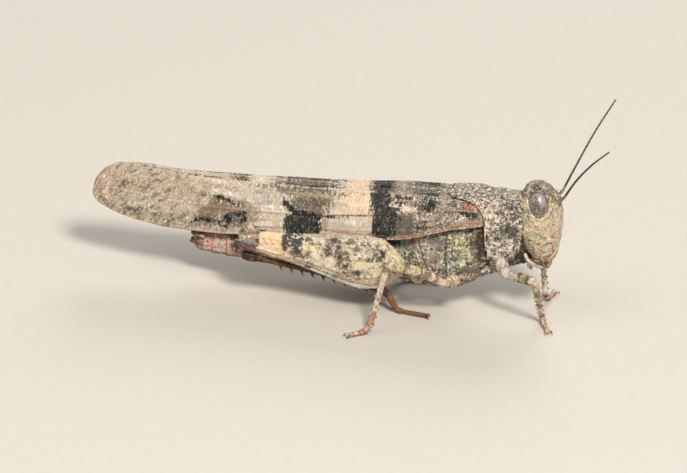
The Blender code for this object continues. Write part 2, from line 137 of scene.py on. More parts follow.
# surfaces: each is {"points", "quads", "fans", "marks"}

def normalsOf(grid, wrap, middle):
    # The cross product of the slopes along the grid's two parameters, made one long and turned away from
    # the middle.
    around = (np.roll(grid, -1, axis=1) - np.roll(grid, 1, axis=1)) if wrap else np.gradient(grid, axis=1)
    normal = np.cross(np.gradient(grid, axis=0), around)
    normal = normal / (np.linalg.norm(normal, axis=-1, keepdims=True) + 1e-12)
    return -normal if ((grid - middle) * normal).sum() < 0 else normal


def outward(points, quads, fans, marks):
    # A closed shape whose signed volume is negative is inside out, so its faces are turned round.
    corners = np.vstack((quads[:, [0, 1, 2]], quads[:, [0, 2, 3]], fans))
    first, second, third = ((points - points.mean(axis=0))[corners[:, at]] for at in range(3))
    if np.einsum("ij,ij->", first, np.cross(second, third)) < 0:
        quads, fans = quads[:, ::-1], fans[:, ::-1]
    return {"points": points, "quads": quads, "fans": fans, "marks": marks}


def loft(rings, height=0, marks=None):
    # A closed body: rings of points, each point raised along the surface's normal, and a fan to the middle
    # of each end ring.
    rows, columns, _ = rings.shape
    normal = normalsOf(rings, True, rings.mean(axis=1, keepdims=True))
    shaped = rings + normal * np.broadcast_to(height, (rows, columns))[..., None]
    points = np.vstack((shaped.reshape(-1, 3), shaped[0].mean(axis=0), shaped[-1].mean(axis=0)))
    here = np.arange(rows * columns).reshape(rows, columns)
    beside = np.roll(here, -1, axis=1)
    quads = np.stack((here[:-1], beside[:-1], beside[1:], here[1:]), axis=-1).reshape(-1, 4)
    pole = np.full(columns, rows * columns)
    fans = np.vstack((np.stack((beside[0], here[0], pole), axis=-1),
                      np.stack((here[-1], beside[-1], pole + 1), axis=-1)))
    kept = {}
    for name, values in (marks or {}).items():
        values = np.broadcast_to(values, (rows, columns))
        kept[name] = np.concatenate((values.ravel(), [values[0].mean(), values[-1].mean()]))
    return outward(points, quads, fans, kept)


def leaf(grid, thickness, height, marks, away):
    # A thin closed leaf: the grid raised by the height, the same grid set in by the thickness on the side
    # that faces the point "away", and a rim round the border.
    rows, columns, _ = grid.shape
    normal = normalsOf(grid, False, np.asarray(away))
    upper = grid + normal * np.broadcast_to(height, (rows, columns))[..., None]
    lower = grid - normal * np.broadcast_to(thickness, (rows, columns))[..., None]
    here = np.arange(rows * columns).reshape(rows, columns)
    quads = np.stack((here[:-1, :-1], here[:-1, 1:], here[1:, 1:], here[1:, :-1]), axis=-1).reshape(-1, 4)
    border = np.concatenate((here[0], here[1:, -1], here[-1, -2::-1], here[-2:0:-1, 0]))
    following = np.roll(border, -1)
    count = rows * columns
    rim = np.stack((following, border, border + count, following + count), axis=-1)
    kept = {}
    for name, values in marks.items():
        kept[name] = np.tile(np.broadcast_to(values, (rows, columns)).ravel(), 2)
    return outward(np.vstack((upper.reshape(-1, 3), lower.reshape(-1, 3))),
                   np.vstack((quads, quads[:, ::-1] + count, rim)), np.zeros((0, 3), int), kept)


def limbRings(path, sections, rows, columns):
    # Rings square to a smooth path. A section is (share of the path, half thickness across, half depth);
    # the depth lies in the upright plane that holds the path. Also gives the share and the angle.
    path = np.asarray(path, float)
    share = np.linspace(0, 1, rows)
    route = through(np.column_stack((np.linspace(0, 1, len(path)), path)), share)
    heading = np.gradient(route, share, axis=0)
    heading /= np.linalg.norm(heading, axis=1)[:, None]
    across = np.cross(heading, (0, 0, 1.0))
    across /= np.linalg.norm(across, axis=1)[:, None]
    depth = np.cross(across, heading)
    thick, deep = through(sections, share).T
    angle = circle(columns)
    rings = (route[:, None, :]
             + across[:, None, :] * (thick[:, None] * np.cos(angle))[..., None]
             + depth[:, None, :] * (deep[:, None] * np.sin(angle))[..., None])
    return rings, share[:, None], angle


def roundRings(path, share, widths, columns):
    # The same with round sections, whose radius is the width at each share.
    return limbRings(path, np.column_stack((share, widths, widths)), len(share), columns)


def rod(path, radii, rows, columns):
    # A tapering rod along a path, for spines, claws and tail horns.
    share = np.linspace(0, 1, rows)
    widths = np.interp(share, np.linspace(0, 1, len(radii)), radii)
    return loft(roundRings(path, share, widths, columns)[0])


def ballAt(centre, radii, rows, columns, turn=np.eye(3)):
    # An ellipsoid: circles of radius sin(a) at height cos(a), stretched by three radii and turned.
    angle = np.linspace(0.03, np.pi - 0.03, rows)[:, None]
    about = circle(columns)
    unit = pointsAt(np.sin(angle) * np.cos(about), np.sin(angle) * np.sin(about), np.cos(angle))
    return loft((unit * np.asarray(radii)) @ turn.T + np.asarray(centre))


def joined(shapes):
    # Several closed shapes as one, with every mark on all of them (-1 where a shape lacks it).
    start = np.cumsum([0] + [len(shape["points"]) for shape in shapes])
    whole = {"points": np.vstack([shape["points"] for shape in shapes])}
    for kind in ("quads", "fans"):
        whole[kind] = np.vstack([shape[kind] + at for shape, at in zip(shapes, start)])
    whole["marks"] = {}
    for name in sorted({name for shape in shapes for name in shape["marks"]}):
        parts = [shape["marks"].get(name, np.full(len(shape["points"]), -1.0)) for shape in shapes]
        whole["marks"][name] = np.concatenate(parts)
    return whole


def intoScene(name, data):
    made = bpy.data.objects.new(name, data)
    bpy.context.scene.collection.objects.link(made)
    return made


def addPiece(name, shapes, finish, node, label=""):
    # Puts the shapes into one mesh, with each of the finish's marks as a point attribute (a mark that the
    # shapes lack is far away everywhere), and rides it on the body. The label takes the place of "Side" in
    # the piece's name and of "side" in the node's.
    name, node = name.replace("Side", label.capitalize()), node.replace("side", label)
    shape = joined(shapes)
    points, quads, fans = shape["points"], shape["quads"], shape["fans"]
    mesh = bpy.data.meshes.new(name)
    mesh.vertices.add(len(points))
    mesh.vertices.foreach_set("co", (points * mm).astype(np.float32).ravel())
    mesh.loops.add(quads.size + fans.size)
    mesh.loops.foreach_set("vertex_index", np.concatenate((quads.ravel(), fans.ravel())).astype(np.int32))
    mesh.polygons.add(len(quads) + len(fans))
    starts = np.concatenate((np.arange(len(quads)) * 4, quads.size + np.arange(len(fans)) * 3))
    mesh.polygons.foreach_set("loop_start", starts.astype(np.int32))
    mesh.update(calc_edges=True)
    mesh.validate()
    mesh.shade_smooth()
    for mark in sorted(finish.marks):
        values = shape["marks"].get(mark, np.full(len(points), -1.0)).astype(np.float32)
        mesh.attributes.new(mark, "FLOAT", "POINT").data.foreach_set("value", values)
    mesh.materials.append(finish.material)
    piece = intoScene(name, mesh)
    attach(piece, "root")
    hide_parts(node)
    print(name, len(quads) * 2 + len(fans), "triangles")


# finishes

class Wire:
    # A socket in a finish's node tree. Arithmetic on it adds Math nodes.
    def __init__(self, finish, socket):
        self.finish = finish
        self.socket = socket

    def __add__(self, other):
        return self.finish.math("ADD", self, other)

    def __sub__(self, other):
        return self.finish.math("SUBTRACT", self, other)

    def __rsub__(self, other):
        return self.finish.math("SUBTRACT", other, self)

    def __mul__(self, other):
        return self.finish.math("MULTIPLY", self, other)

    __radd__ = __add__
    __rmul__ = __mul__


class Finish:
    # A material and the ways to add nodes to it.
    def __init__(self, name):
        self.material = bpy.data.materials.new(name)
        self.material.use_nodes = True
        self.tree = self.material.node_tree
        self.shader = self.tree.nodes["Principled BSDF"]
        self.known = {}
        self.marks = set()
        self.place = self.scaled(self.node("ShaderNodeTexCoord", {}, {}, "Object"), 1 / mm)

    def node(self, kind, settings, sockets, output=0):
        made = self.tree.nodes.new(kind)
        for key, value in settings.items():
            setattr(made, key, value)
        self.plug(made, sockets)
        return Wire(self, made.outputs[output])

    def plug(self, made, sockets):
        # Links what varies, and sets the rest as plain values.
        for key, value in sockets.items():
            if isinstance(value, Wire):
                self.tree.links.new(value.socket, made.inputs[key])
            else:
                made.inputs[key].default_value = value

    def math(self, operation, *values):
        return self.node("ShaderNodeMath", {"operation": operation}, dict(enumerate(values)))

    def vectorMath(self, operation, *values):
        return self.node("ShaderNodeVectorMath", {"operation": operation}, dict(enumerate(values)))

    def scaled(self, vector, factor):
        return self.node("ShaderNodeVectorMath", {"operation": "SCALE"}, {0: vector, 3: factor})

    def channel(self, colour, name):
        return self.node("ShaderNodeSeparateColor", {}, {0: colour}, name)

    def mix(self, share, first, second):
        settings = {"data_type": "RGBA", "blend_type": "MIX", "clamp_factor": True}
        return self.node("ShaderNodeMix", settings, {0: share, 6: first, 7: second}, 2)

    def clouded(self, wire, low, high, tones):
        # The first tone below low, the second above high.
        first, second = (tone(code) for code in tones)
        return self.mix(self.edge(wire, low, high), first, second)

    def layered(self, colour, layers):
        # Lays paints over a colour, each by its share. A paint is a tone's code or a wire.
        for share, paint in layers:
            colour = self.mix(share, colour, paint if isinstance(paint, Wire) else tone(paint))
        return colour

    def edge(self, value, low, high):
        settings = {"interpolation_type": "SMOOTHSTEP", "clamp": True}
        return self.node("ShaderNodeMapRange", settings, {0: value, 1: low, 2: high, 3: 0.0, 4: 1.0})

    def under(self, value, low, high):
        return 1.0 - self.edge(value, low, high)

    def mark(self, name):
        self.marks.add(name)
        if name not in self.known:
            self.known[name] = self.node("ShaderNodeAttribute", {"attribute_name": name}, {}, "Fac")
        return self.known[name]

    def noise(self, perMm, detail, rough=0.55):
        key = (perMm, detail, rough)
        if key not in self.known:
            sockets = {"Vector": self.place, "Scale": perMm, "Detail": detail, "Roughness": rough}
            self.known[key] = self.node("ShaderNodeTexNoise", {}, sockets)
        return self.known[key]

    def warped(self, vector, perMm, detail, reach):
        # The vector shifted by a noise, so that cells lose their straight walls.
        sockets = {"Vector": vector, "Scale": perMm, "Detail": detail}
        shift = self.node("ShaderNodeTexNoise", {}, sockets, "Color")
        return self.vectorMath("MULTIPLY_ADD", shift, reach, vector)

    def cells(self, perMm, output="Distance", vector=None, feature="F1", loose=1.0):
        sockets = {"Vector": vector or self.place, "Scale": perMm, "Randomness": loose}
        return self.node("ShaderNodeTexVoronoi", {"feature": feature}, sockets, output)

    def dots(self, perMm, radius, share):
        # Round dots, in the given share of the cells: 1 inside a dot.
        near = self.cells(perMm)
        luck = self.channel(Wire(self, near.socket.node.outputs["Color"]), "Red")
        return self.under(near, radius * 0.55, radius) * self.edge(luck, 1 - share, 1 - share + 0.02)

    def finished(self, colour, roughness, height, depth, constants):
        # The shader's sockets: the wires that vary, and the constants; the height feeds the bump.
        bump = self.node("ShaderNodeBump", {}, {"Height": height, "Strength": 1.0, "Distance": depth * mm})
        self.plug(self.shader, {"Base Color": colour, "Roughness": roughness, "Normal": bump, **constants})
        return self


def tone(code):
    # A six-digit screen colour as linear light.
    values = [int(code[at:at + 2], 16) / 255 for at in (0, 2, 4)]
    return (*[v / 12.92 if v <= 0.04045 else ((v + 0.055) / 1.055) ** 2.4 for v in values], 1.0)


def painted(finish, colour, coats, wander):
    # Lays each coat over the colour where its mark is above 0. The wander, a wire of about +-0.5, makes the
    # outlines ragged. A coat is (first tone, second tone, softness in mm, raggedness in mm, cover).
    patch = finish.noise(2.2, 3.0)
    for name, (*tones, soft, ragged, cover) in coats.items():
        share = finish.edge(finish.mark(name) + wander * ragged, -soft, soft) * cover
        colour = finish.mix(share, colour, finish.clouded(patch, 0.35, 0.65, tones))
    return colour


# camera, light and floor

view = {
    "target": (-0.489, 1.723, 3.934),
    # degrees, then mm
    "elevation": 24,
    "azimuth": 3.7,
    "roll": 5,
    "distance": 600,
    "lens": 389.87,
    "sensor": 36,
}
studio = {
    # place, size, watts, tint
    "lamps": {
        "key": ((130, -320, 390), 130, 2.8, (1, 0.97, 0.92)),
        "fill": ((-250, -150, 350), 300, 0.5, (0.98, 0.98, 1)),
        "back": ((60, 420, 260), 300, 1.2, (1, 0.98, 0.95)),
    },
    "sky": ((0.92, 0.95, 1, 1), 0.3),
    "floor": 900,
    "floorPaint": {"tones": ("c9c2b7", "c3bbaf"), "grain": 1.5, "rough": 0.75, "relief": 0.01},
}


def facing(right, up, back, place):
    # The matrix of a camera or a lamp with these axes, at a place in mm.
    turn = np.column_stack((right, up, back))
    return Matrix([[*row, at * mm] for row, at in zip(turn, place)] + [[0, 0, 0, 1]])


def addCamera():
    # The camera looks at the target from its elevation and azimuth, then turns about its own axis.
    climb, turn, roll = (math.radians(view[key]) for key in ("elevation", "azimuth", "roll"))
    back = np.array((math.sin(turn) * math.cos(climb), -math.cos(turn) * math.cos(climb), math.sin(climb)))
    right = np.array((math.cos(turn), math.sin(turn), 0))
    up = np.cross(back, right)
    data = bpy.data.cameras.new("camera")
    data.lens = view["lens"]
    data.sensor_width = view["sensor"]
    data.clip_start = 0.01
    camera = intoScene("camera", data)
    camera.matrix_world = facing(math.cos(roll) * right + math.sin(roll) * up,
                                 -math.sin(roll) * right + math.cos(roll) * up, back,
                                 np.array(view["target"]) + view["distance"] * back)
    bpy.context.scene.camera = camera


def addLights():
    # Three large soft lights that face the body, and a pale sky.
    for name, (place, size, watts, tint) in studio["lamps"].items():
        data = bpy.data.lights.new(name, "AREA")
        data.shape = "DISK"
        data.size = size * mm
        data.energy = watts
        data.color = tint
        back = np.array(place) / np.linalg.norm(place)
        right = np.cross((0, 0, 1.0), back)
        right /= np.linalg.norm(right)
        intoScene(name, data).matrix_world = facing(right, np.cross(back, right), back, place)
    world = bpy.data.worlds.new("sky")
    world.use_nodes = True
    sky = world.node_tree.nodes["Background"].inputs
    sky["Color"].default_value, sky["Strength"].default_value = studio["sky"]
    bpy.context.scene.world = world
    bpy.context.scene.view_settings.view_transform = "Standard"


def addFloor():
    # One large square at the level of the feet.
    half = studio["floor"] * mm
    paint = studio["floorPaint"]
    mesh = bpy.data.meshes.new("floor")
    corners = [(-half, -half, 0), (half, -half, 0), (half, half, 0), (-half, half, 0)]
    mesh.from_pydata(corners, [], [(0, 1, 2, 3)])
    finish = Finish("floorPaint")
    grain = finish.noise(paint["grain"], 4.0)
    first, second = (tone(code) for code in paint["tones"])
    finish.finished(finish.mix(grain, first, second), paint["rough"], grain, paint["relief"], {})
    mesh.materials.append(finish.material)
    floor = intoScene("floor", mesh)


addCamera()
addLights()
addFloor()
print("camera, lights and floor are set")


# forewings

wing = {
    # place, top, lower edge, distance out of the fold and of the lower edge
    "keys": (
        (-20.75, 6.74, 6.48, 0.52, 0.62), (-20.7, 7.04, 6.22, 0.51, 0.65), (-20.6, 7.34, 6, 0.5, 0.67),
        (-20.45, 7.66, 5.8, 0.48, 0.68), (-19.8, 8.36, 5.4, 0.46, 0.74), (-18.6, 8.88, 4.95, 0.46, 0.86),
        (-17, 8.92, 4.6, 0.47, 1.02), (-14.5, 8.84, 4.38, 0.5, 1.28), (-11.4, 8.84, 4.5, 0.58, 1.72),
        (-8, 8.94, 4.85, 0.72, 2.12), (-4, 9.08, 5.45, 0.88, 2.55), (0, 9.32, 5.95, 1.02, 2.92),
        (3, 9.54, 6.22, 1.15, 3.14), (5, 9.7, 6.55, 1.28, 3.2), (7, 9.7, 7.22, 1.42, 3.1),
        (8.6, 9.66, 7.72, 1.58, 2.92), (10, 9.62, 7.95, 1.72, 2.72), (10.9, 9.5, 8.1, 1.62, 2.45),
    ),
    "rows": 420,
    "topColumns": 16,
    "sideColumns": 68,
    "bulge": 1.55,
    "parting": {"left": -0.06, "right": 0.03},  # the left wing closes over the right
    "lap": {"left": 0.06, "right": 0},
    "thick": 0.1,
    # long veins: keys of (place, share of the way down the side), relief and half width
    "veins": (
        (((-20.5, 0.5), (-12, 0.5), (-5, 0.525), (0, 0.472), (4, 0.39), (7, 0.315), (10, 0.31)),
         0.065, 0.055),
        (((-20.5, 0.42), (-12, 0.4), (-5, 0.44), (0, 0.42), (4, 0.35), (7, 0.28), (10, 0.16)),
         0.035, 0.045),
        (((-20.5, 0.3), (-12, 0.27), (-5, 0.3), (0, 0.3), (4, 0.24), (7, 0.17), (10, 0.08)), 0.025, 0.04),
        (((-20.5, 0.16), (-12, 0.14), (-5, 0.16), (0, 0.17), (5, 0.12), (9, 0.06)), 0.025, 0.04),
        (((-20.5, 0.62), (-12, 0.64), (-5, 0.66), (0, 0.65), (5, 0.6), (9, 0.55)), 0.025, 0.04),
        (((-20.5, 0.76), (-12, 0.8), (-5, 0.8), (0, 0.82), (5, 0.78), (9, 0.76)), 0.04, 0.05),
        (((-20.5, 0.88), (-12, 0.91), (-5, 0.91), (0, 0.93), (5, 0.92), (9, 0.9)), 0.03, 0.045),
    ),
    # blots: along, up, half length, half height, and degrees where it is turned
    "marks": {
        "dark": (
            (2.4, 9, 0.78, 0.6, 4), (3.1, 8.45, 1.2, 0.32, 9), (3.95, 9.04, 0.4, 0.12, 2),
            (2.98, 7.38, 1, 0.95, 8), (2.8, 6.72, 0.7, 0.46, 6), (3.3, 7.98, 0.8, 0.26, 8),
            (6.45, 9.06, 0.52, 0.22, 8), (6.62, 9.36, 0.3, 0.12), (5.5, 8.88, 0.1, 0.17),
            (9.5, 8.94, 0.7, 0.2, -4), (9.98, 8.84, 0.45, 0.26, -10), (9.25, 9.64, 0.6, 0.12, -8),
            (6.45, 7.66, 0.6, 0.05, 10), (4.6, 9.42, 0.7, 0.08, 2), (-3.62, 6.36, 1.52, 1.02, 6),
            (-3.3, 7.15, 1.32, 0.34, 4), (-1.72, 7.34, 0.8, 0.07, 5), (-4.9, 7.7, 0.64, 0.24, -33),
            (-9.3, 7.22, 0.34, 0.1, -20), (-10.4, 7.48, 0.4, 0.07, -8), (-8.8, 6.44, 0.66, 0.2, 8),
            (-8.36, 6.14, 0.22, 0.3), (-9.64, 5.96, 0.36, 0.4, 10), (-9.9, 5.3, 0.36, 0.15),
            (-11.5, 5.48, 0.92, 0.15, 3), (-7.2, 5.28, 0.36, 0.07, 10),
        ),
        "smoky": (
            (-3.25, 7.66, 1.6, 0.8, 4), (4.3, 7.4, 1.15, 1.05, 8), (5.3, 7.35, 0.95, 0.4, 12),
            (8.75, 9.42, 0.75, 0.14, -10), (6.2, 9.25, 1.05, 0.48, 5), (3.6, 9.22, 0.55, 0.22),
            (-3.8, 8.96, 2.1, 0.12, 2), (-9.35, 5.85, 0.95, 0.42, 8), (-11.2, 5.55, 1.2, 0.24, 3),
            (-14.2, 5.03, 0.95, 0.1, 2), (-17.2, 5.42, 0.85, 0.26, 6), (2.8, 6.45, 1.3, 0.3, 6),
            (-15.7, 5.25, 0.4, 0.1), (-9.9, 7.36, 1.05, 0.24, -10),
        ),
        "tipShade": ((-16.6, 6.9, 5.6, 2.6),),
        "ashy": ((7, 8, 3, 0.85, 16), (5.5, 9.15, 2, 0.32, 2), (7.8, 9.4, 1.2, 0.35, -8),
                 (-9, 6.1, 1.9, 1.2, 6), (-11.5, 5.4, 2.4, 0.5, 3)),
        "calm": ((0.2, 8.3, 1.75, 1.1, 4), (-0.2, 6.95, 1.6, 0.42, 5), (-6, 6, 1.6, 0.6, 8),
                 (-9.6, 7.85, 1, 0.16, -5), (4.75, 8.7, 0.5, 0.25, 8), (4.35, 7.4, 0.95, 0.95, 8),
                 (8.1, 9.16, 0.75, 0.15, -8), (9.7, 8.9, 0.6, 0.22, -6), (9.6, 8.15, 1.1, 0.3, 12),
                 (7, 7.4, 1.6, 0.18, 16)),
        "brown": (
            (-5.25, 8.58, 1.05, 0.22, -22), (-3.1, 8.24, 1.8, 0.32, 3), (-1.8, 8.46, 0.55, 0.22, 20),
            (-2.9, 8.32, 1.5, 0.1, 2), (-10.9, 6.6, 0.5, 0.85), (-11.6, 6.1, 0.55, 0.5),
            (-10, 6.75, 0.45, 0.4), (-20.3, 6.75, 0.22, 0.3), (-19.7, 5.75, 0.45, 0.14, -40),
            (-18.4, 5.1, 0.6, 0.12, -22), (-8, 5.5, 0.6, 0.22, 6), (-11.8, 7.55, 0.4, 0.22, 20),
            (5.02, 9.05, 0.12, 0.1), (4.62, 9.28, 0.12, 0.08), (-14.6, 7.45, 0.4, 0.16, 40),
            (-16.5, 7.35, 0.36, 0.15, 40), (-18.3, 7.4, 0.36, 0.13, 40), (2.55, 8.1, 0.7, 0.05, 8),
        ),
        "olive": (
            (3.75, 9.3, 0.6, 0.16, 4), (5.6, 9.3, 0.35, 0.14), (8.45, 9.16, 0.65, 0.18, -8),
            (-3.3, 8.66, 2.05, 0.5, 3), (-9.55, 6.86, 0.95, 0.3, 4), (3.55, 9.36, 0.48, 0.12, 4),
            (-8.45, 7.3, 0.35, 0.5), (-7.95, 6.3, 0.25, 0.55), (-4.25, 8.12, 0.55, 0.16, -12),
            (-1.85, 6.9, 0.22, 0.45), (-13.2, 5.45, 0.3, 0.4), (8.5, 9.18, 0.5, 0.1, -10),
            (-4.6, 8.6, 0.4, 0.15),
        ),
        "violet": (
            (-10.4, 8.27, 0.85, 0.12, -2), (-6.85, 8.27, 0.52, 0.13, -6), (-15.9, 8.2, 0.5, 0.18, -20),
            (-19.1, 6.85, 0.36, 0.4), (-17.9, 7.15, 0.2, 0.15), (2.35, 7.3, 0.22, 0.45),
            (7.75, 7.98, 0.65, 0.1, 14), (-2.45, 6.8, 0.3, 0.4), (-8.1, 5.6, 0.6, 0.16, 6),
            (-18, 8.6, 0.5, 0.2), (-12.2, 5.8, 0.5, 0.15), (-5.2, 8.55, 0.4, 0.1, -20),
        ),
        "grey": ((-6.4, 7.7, 1.3, 0.6, 8), (-6.6, 8.6, 1.3, 0.25, 4), (7.4, 9.48, 0.5, 0.1, -6),
                 (-1.9, 8.05, 0.45, 0.16, 20), (-16.5, 6.2, 1.6, 0.5), (-13.6, 6.3, 1.2, 0.6),
                 (-17.5, 5.7, 1, 0.3, 8), (-0.6, 7, 1.1, 0.42, 4), (8.1, 8.4, 0.6, 0.14, 16),
                 (-9, 8.25, 0.9, 0.2)),
        "pale": ((-9.7, 7.84, 1.15, 0.13, -5), (-8.86, 6.1, 0.16, 0.26), (-5.1, 7.05, 0.35, 0.35),
                 (-6.1, 7.2, 0.9, 0.3, 8), (-16.6, 5.78, 0.55, 0.18, -6), (-15.6, 5.42, 0.36, 0.13),
                 (-17.7, 5.85, 0.4, 0.13), (-10.25, 5.9, 0.14, 0.2), (9.05, 8.6, 0.3, 0.08, 16),
                 (6.45, 7.42, 0.22, 0.12, 10), (0.5, 7.2, 0.6, 0.16, 4), (-4.5, 8.22, 0.55, 0.1, -14),
                 (-12.9, 5.3, 0.25, 0.25), (7.35, 9.58, 0.4, 0.06), (-6.5, 6, 0.9, 0.12, 8)),
        "peach": ((0.4, 8.7, 1.2, 0.6, 4), (4.75, 8.72, 0.58, 0.26, 8), (0.6, 7.88, 1.8, 0.15, 8),
                  (8, 9.2, 0.95, 0.13, -8), (-0.2, 6.4, 2, 0.15, 6), (-6.4, 6.1, 1.6, 0.14, 10),
                  (-6.3, 5.4, 1, 0.2, 8), (-10.8, 8.72, 1.6, 0.1), (-19.7, 6.9, 0.3, 1.1),
                  (-8.3, 5.1, 0.8, 0.22, 4), (4.3, 9.32, 0.85, 0.12, 4), (-6.5, 6.62, 1.4, 0.08, 8)),
        "rust": ((8.4, 7.86, 2.1, 0.18, 17), (5.3, 6.78, 1.6, 0.16, 13), (9.9, 8.24, 1, 0.27, 10),
                 (7.9, 9.13, 0.7, 0.1, -8), (2.45, 8.06, 0.6, 0.035, 8), (0.6, 6.36, 2.4, 0.06, 3)),
        "orange": ((9.55, 9.38, 0.46, 0.24, -6),),
    },
    # the same bands on the flat top, by distance out
    "topMarks": {
        "dark": ((-2.8, 0.75, 1.7, 0.2), (2.45, 0.6, 0.75, 0.8), (-8.9, 0.55, 0.7, 0.14),
                 (6.3, 1.1, 0.8, 0.3), (-5, 0.6, 0.6, 0.15)),
        "smoky": ((-3.6, 0.45, 2.4, 0.5), (2.6, 0.5, 1.1, 0.7), (6.1, 0.7, 1.2, 0.6),
                  (-12, 0.52, 0.9, 0.05), (-9, 0.3, 0.8, 0.3)),
        "brown": ((-11.2, 0.5, 0.8, 0.1), (8.6, 0.5, 0.9, 0.5), (4.9, 0.45, 0.9, 0.25)),
        "pale": ((-10, 0.35, 0.12, 0.1), (-7.4, 0.3, 0.6, 0.2)),
        "peach": ((0.5, 0.5, 1, 0.7), (-7.6, 0.5, 0.8, 0.2)),
        "olive": ((3.9, 0.8, 0.6, 0.4), (5.4, 1, 0.5, 0.25), (-3.3, 0.6, 2, 0.15)),
        "ashy": ((6, 0.8, 3, 1),),
        "grey": ((-14, 0.3, 1.2, 0.3), (-0.9, 0.4, 0.5, 0.4)),
    },
    "ground": ("d2c3ad", "c0b09a"),
    # two tones, softness, raggedness, cover
    "coats": {
        "tipShade": ("baa891", "a8967f", 0.7, 1.3, 0.85), "ashy": ("8f8171", "7d7265", 0.2, 0.9, 0.85),
        "peach": ("e8ccb0", "e0bf9f", 0.12, 0.3, 0.85), "grey": ("b9afa2", "c6bcac", 0.16, 0.6, 0.8),
        "olive": ("7f7659", "958a66", 0.14, 0.4, 0.88), "violet": ("857a78", "978b86", 0.1, 0.35, 0.75),
        "brown": ("665441", "7c6751", 0.08, 0.26, 0.9), "pale": ("dcd4c6", "e4dccc", 0.08, 0.3, 0.9),
        "smoky": ("35342f", "454239", 0.14, 0.45, 0.9), "dark": ("262422", "33302b", 0.05, 0.24, 0.95),
        "rust": ("ac8470", "936a56", 0.05, 0.12, 0.92), "orange": ("b9683f", "a4542f", 0.09, 0.06, 0.92),
        # the first coat below is a painted shadow line under the main vein's ridge
        # the last coat below is the lower edge's own brown line, darkened further as painted shadow
        "groove": ("3b3027", "2c241d", 0.025, 0.05, 0.85), "hem": ("6e5442", "4e3a2d", 0.03, 0.05, 0.8),
    },
    "spacing": 1.15,  # packs rows towards the tip
    "middle": (-4, 2, 2),  # a point on the inner side: along, distance past the middle plane, up
    "cells": (6.2, 3.3),  # between the veins, along and across, per mm
    "tones": {
        "fleck": "5a4c40", "gleam": "e2d8c8", "dash": "7d6c5b", "pepper": "332c26", "salt": "ece2d2",
        "heart": "efe7da", "window": "7c7d72",
        "net": ("8c7661", "0f0e0d"),  # on pale and on dark ground
        "lines": ("ab8a6e", "857c66", "1c1a18"),  # on pale ground, there near the root, on dark ground
    },
}


def wingGrid(side, label):
    # Rows run from the tip to the root; a row runs from the middle over the flat top to the fold, and then
    # down a superellipse quarter whose power is the bulge. Also gives the share of the way down, and the
    # wing's height at each place.
    over, down = wing["topColumns"], wing["sideColumns"]
    tip, root = wing["keys"][0][0], wing["keys"][-1][0]
    packed = np.sin(np.linspace(0, 1, wing["rows"]) * np.pi / 2) ** wing["spacing"]
    places = root - (root - tip) * packed[::-1]
    top, low, fold, out = through(wing["keys"], places).T[:, :, None]
    flat = np.linspace(0, 1, over + 1)[:-1]
    quarter = np.linspace(0, np.pi / 2, down)
    start = wing["parting"][label]
    bend = 2 / wing["bulge"]
    lower = fold + (out - fold) * np.sin(quarter) ** bend
    reach = np.concatenate((start + (fold - start) * flat, lower), axis=1)
    lap = wing["lap"][label] * (1 - flat) * rise(-20.7, -19.5, places)[:, None]
    height = np.concatenate((top + lap, low + (top - low) * np.cos(quarter) ** bend), axis=1)
    return pointsAt(places[:, None], side * reach, height), (top - height) / (top - low), top - low


def makeWing(label, finish):
    # Relief: a ridge along each long vein, a fine fold along the dorsal edge and a slight cockle.
    side = sides[label]
    grid, down, tall = wingGrid(side, label)
    x, out = grid[..., 0], np.abs(grid[..., 1])
    lines = np.zeros(x.shape)
    veins = []
    for keys, lift, half in wing["veins"]:
        away = (down - through(keys, x)) * tall
        veins.append((lift, away, half, 1))
        lines = np.maximum(lines, hump(away, half * 1.2) * lift / 0.055)
    for share in (0.35, 0.7):
        away = out - through(((-20.7, 0.5), (-8, 0.72), (5, 1.28), (10.2, 1.45)), x) * share
        veins.append((0.02, away, 0.05, down < 0.005))
    height = 0.02 * ripple(grid, 2.6, 5 + side) + relief(*veins, (0.05, (1 - down) * tall, 0.07, 1))
    steps = np.linalg.norm(np.diff(grid, axis=1), axis=-1)
    marks = marksAt(grid, wing["marks"])
    for name, blots in wing["topMarks"].items():
        marks[name] = np.where(down > 0.015, marks[name], inside(x, out, blots))
    marks["lineShare"] = lines
    main = veins[0][1] - 0.075
    # painted shadow: a dark line just under the main vein's ridge, gone towards the tip
    marks["groove"] = 0.045 - np.abs(main) - 0.2 * rise(-1.2, -2.0, x)
    # the lower edge's own brown line with painted shadow in it, fading out towards the root
    marks["hem"] = 0.055 - (1 - down) * tall - 0.2 * rise(3.0, 4.5, x)
    marks["runAcross"] = np.concatenate((np.zeros((len(x), 1)), np.cumsum(steps, axis=1)), axis=1)
    along, past, up = wing["middle"]
    shape = leaf(grid, wing["thick"], height, marks, (along, -side * past, up))
    addPiece("forewingSide", [shape], finish, "tegmen_side", label)


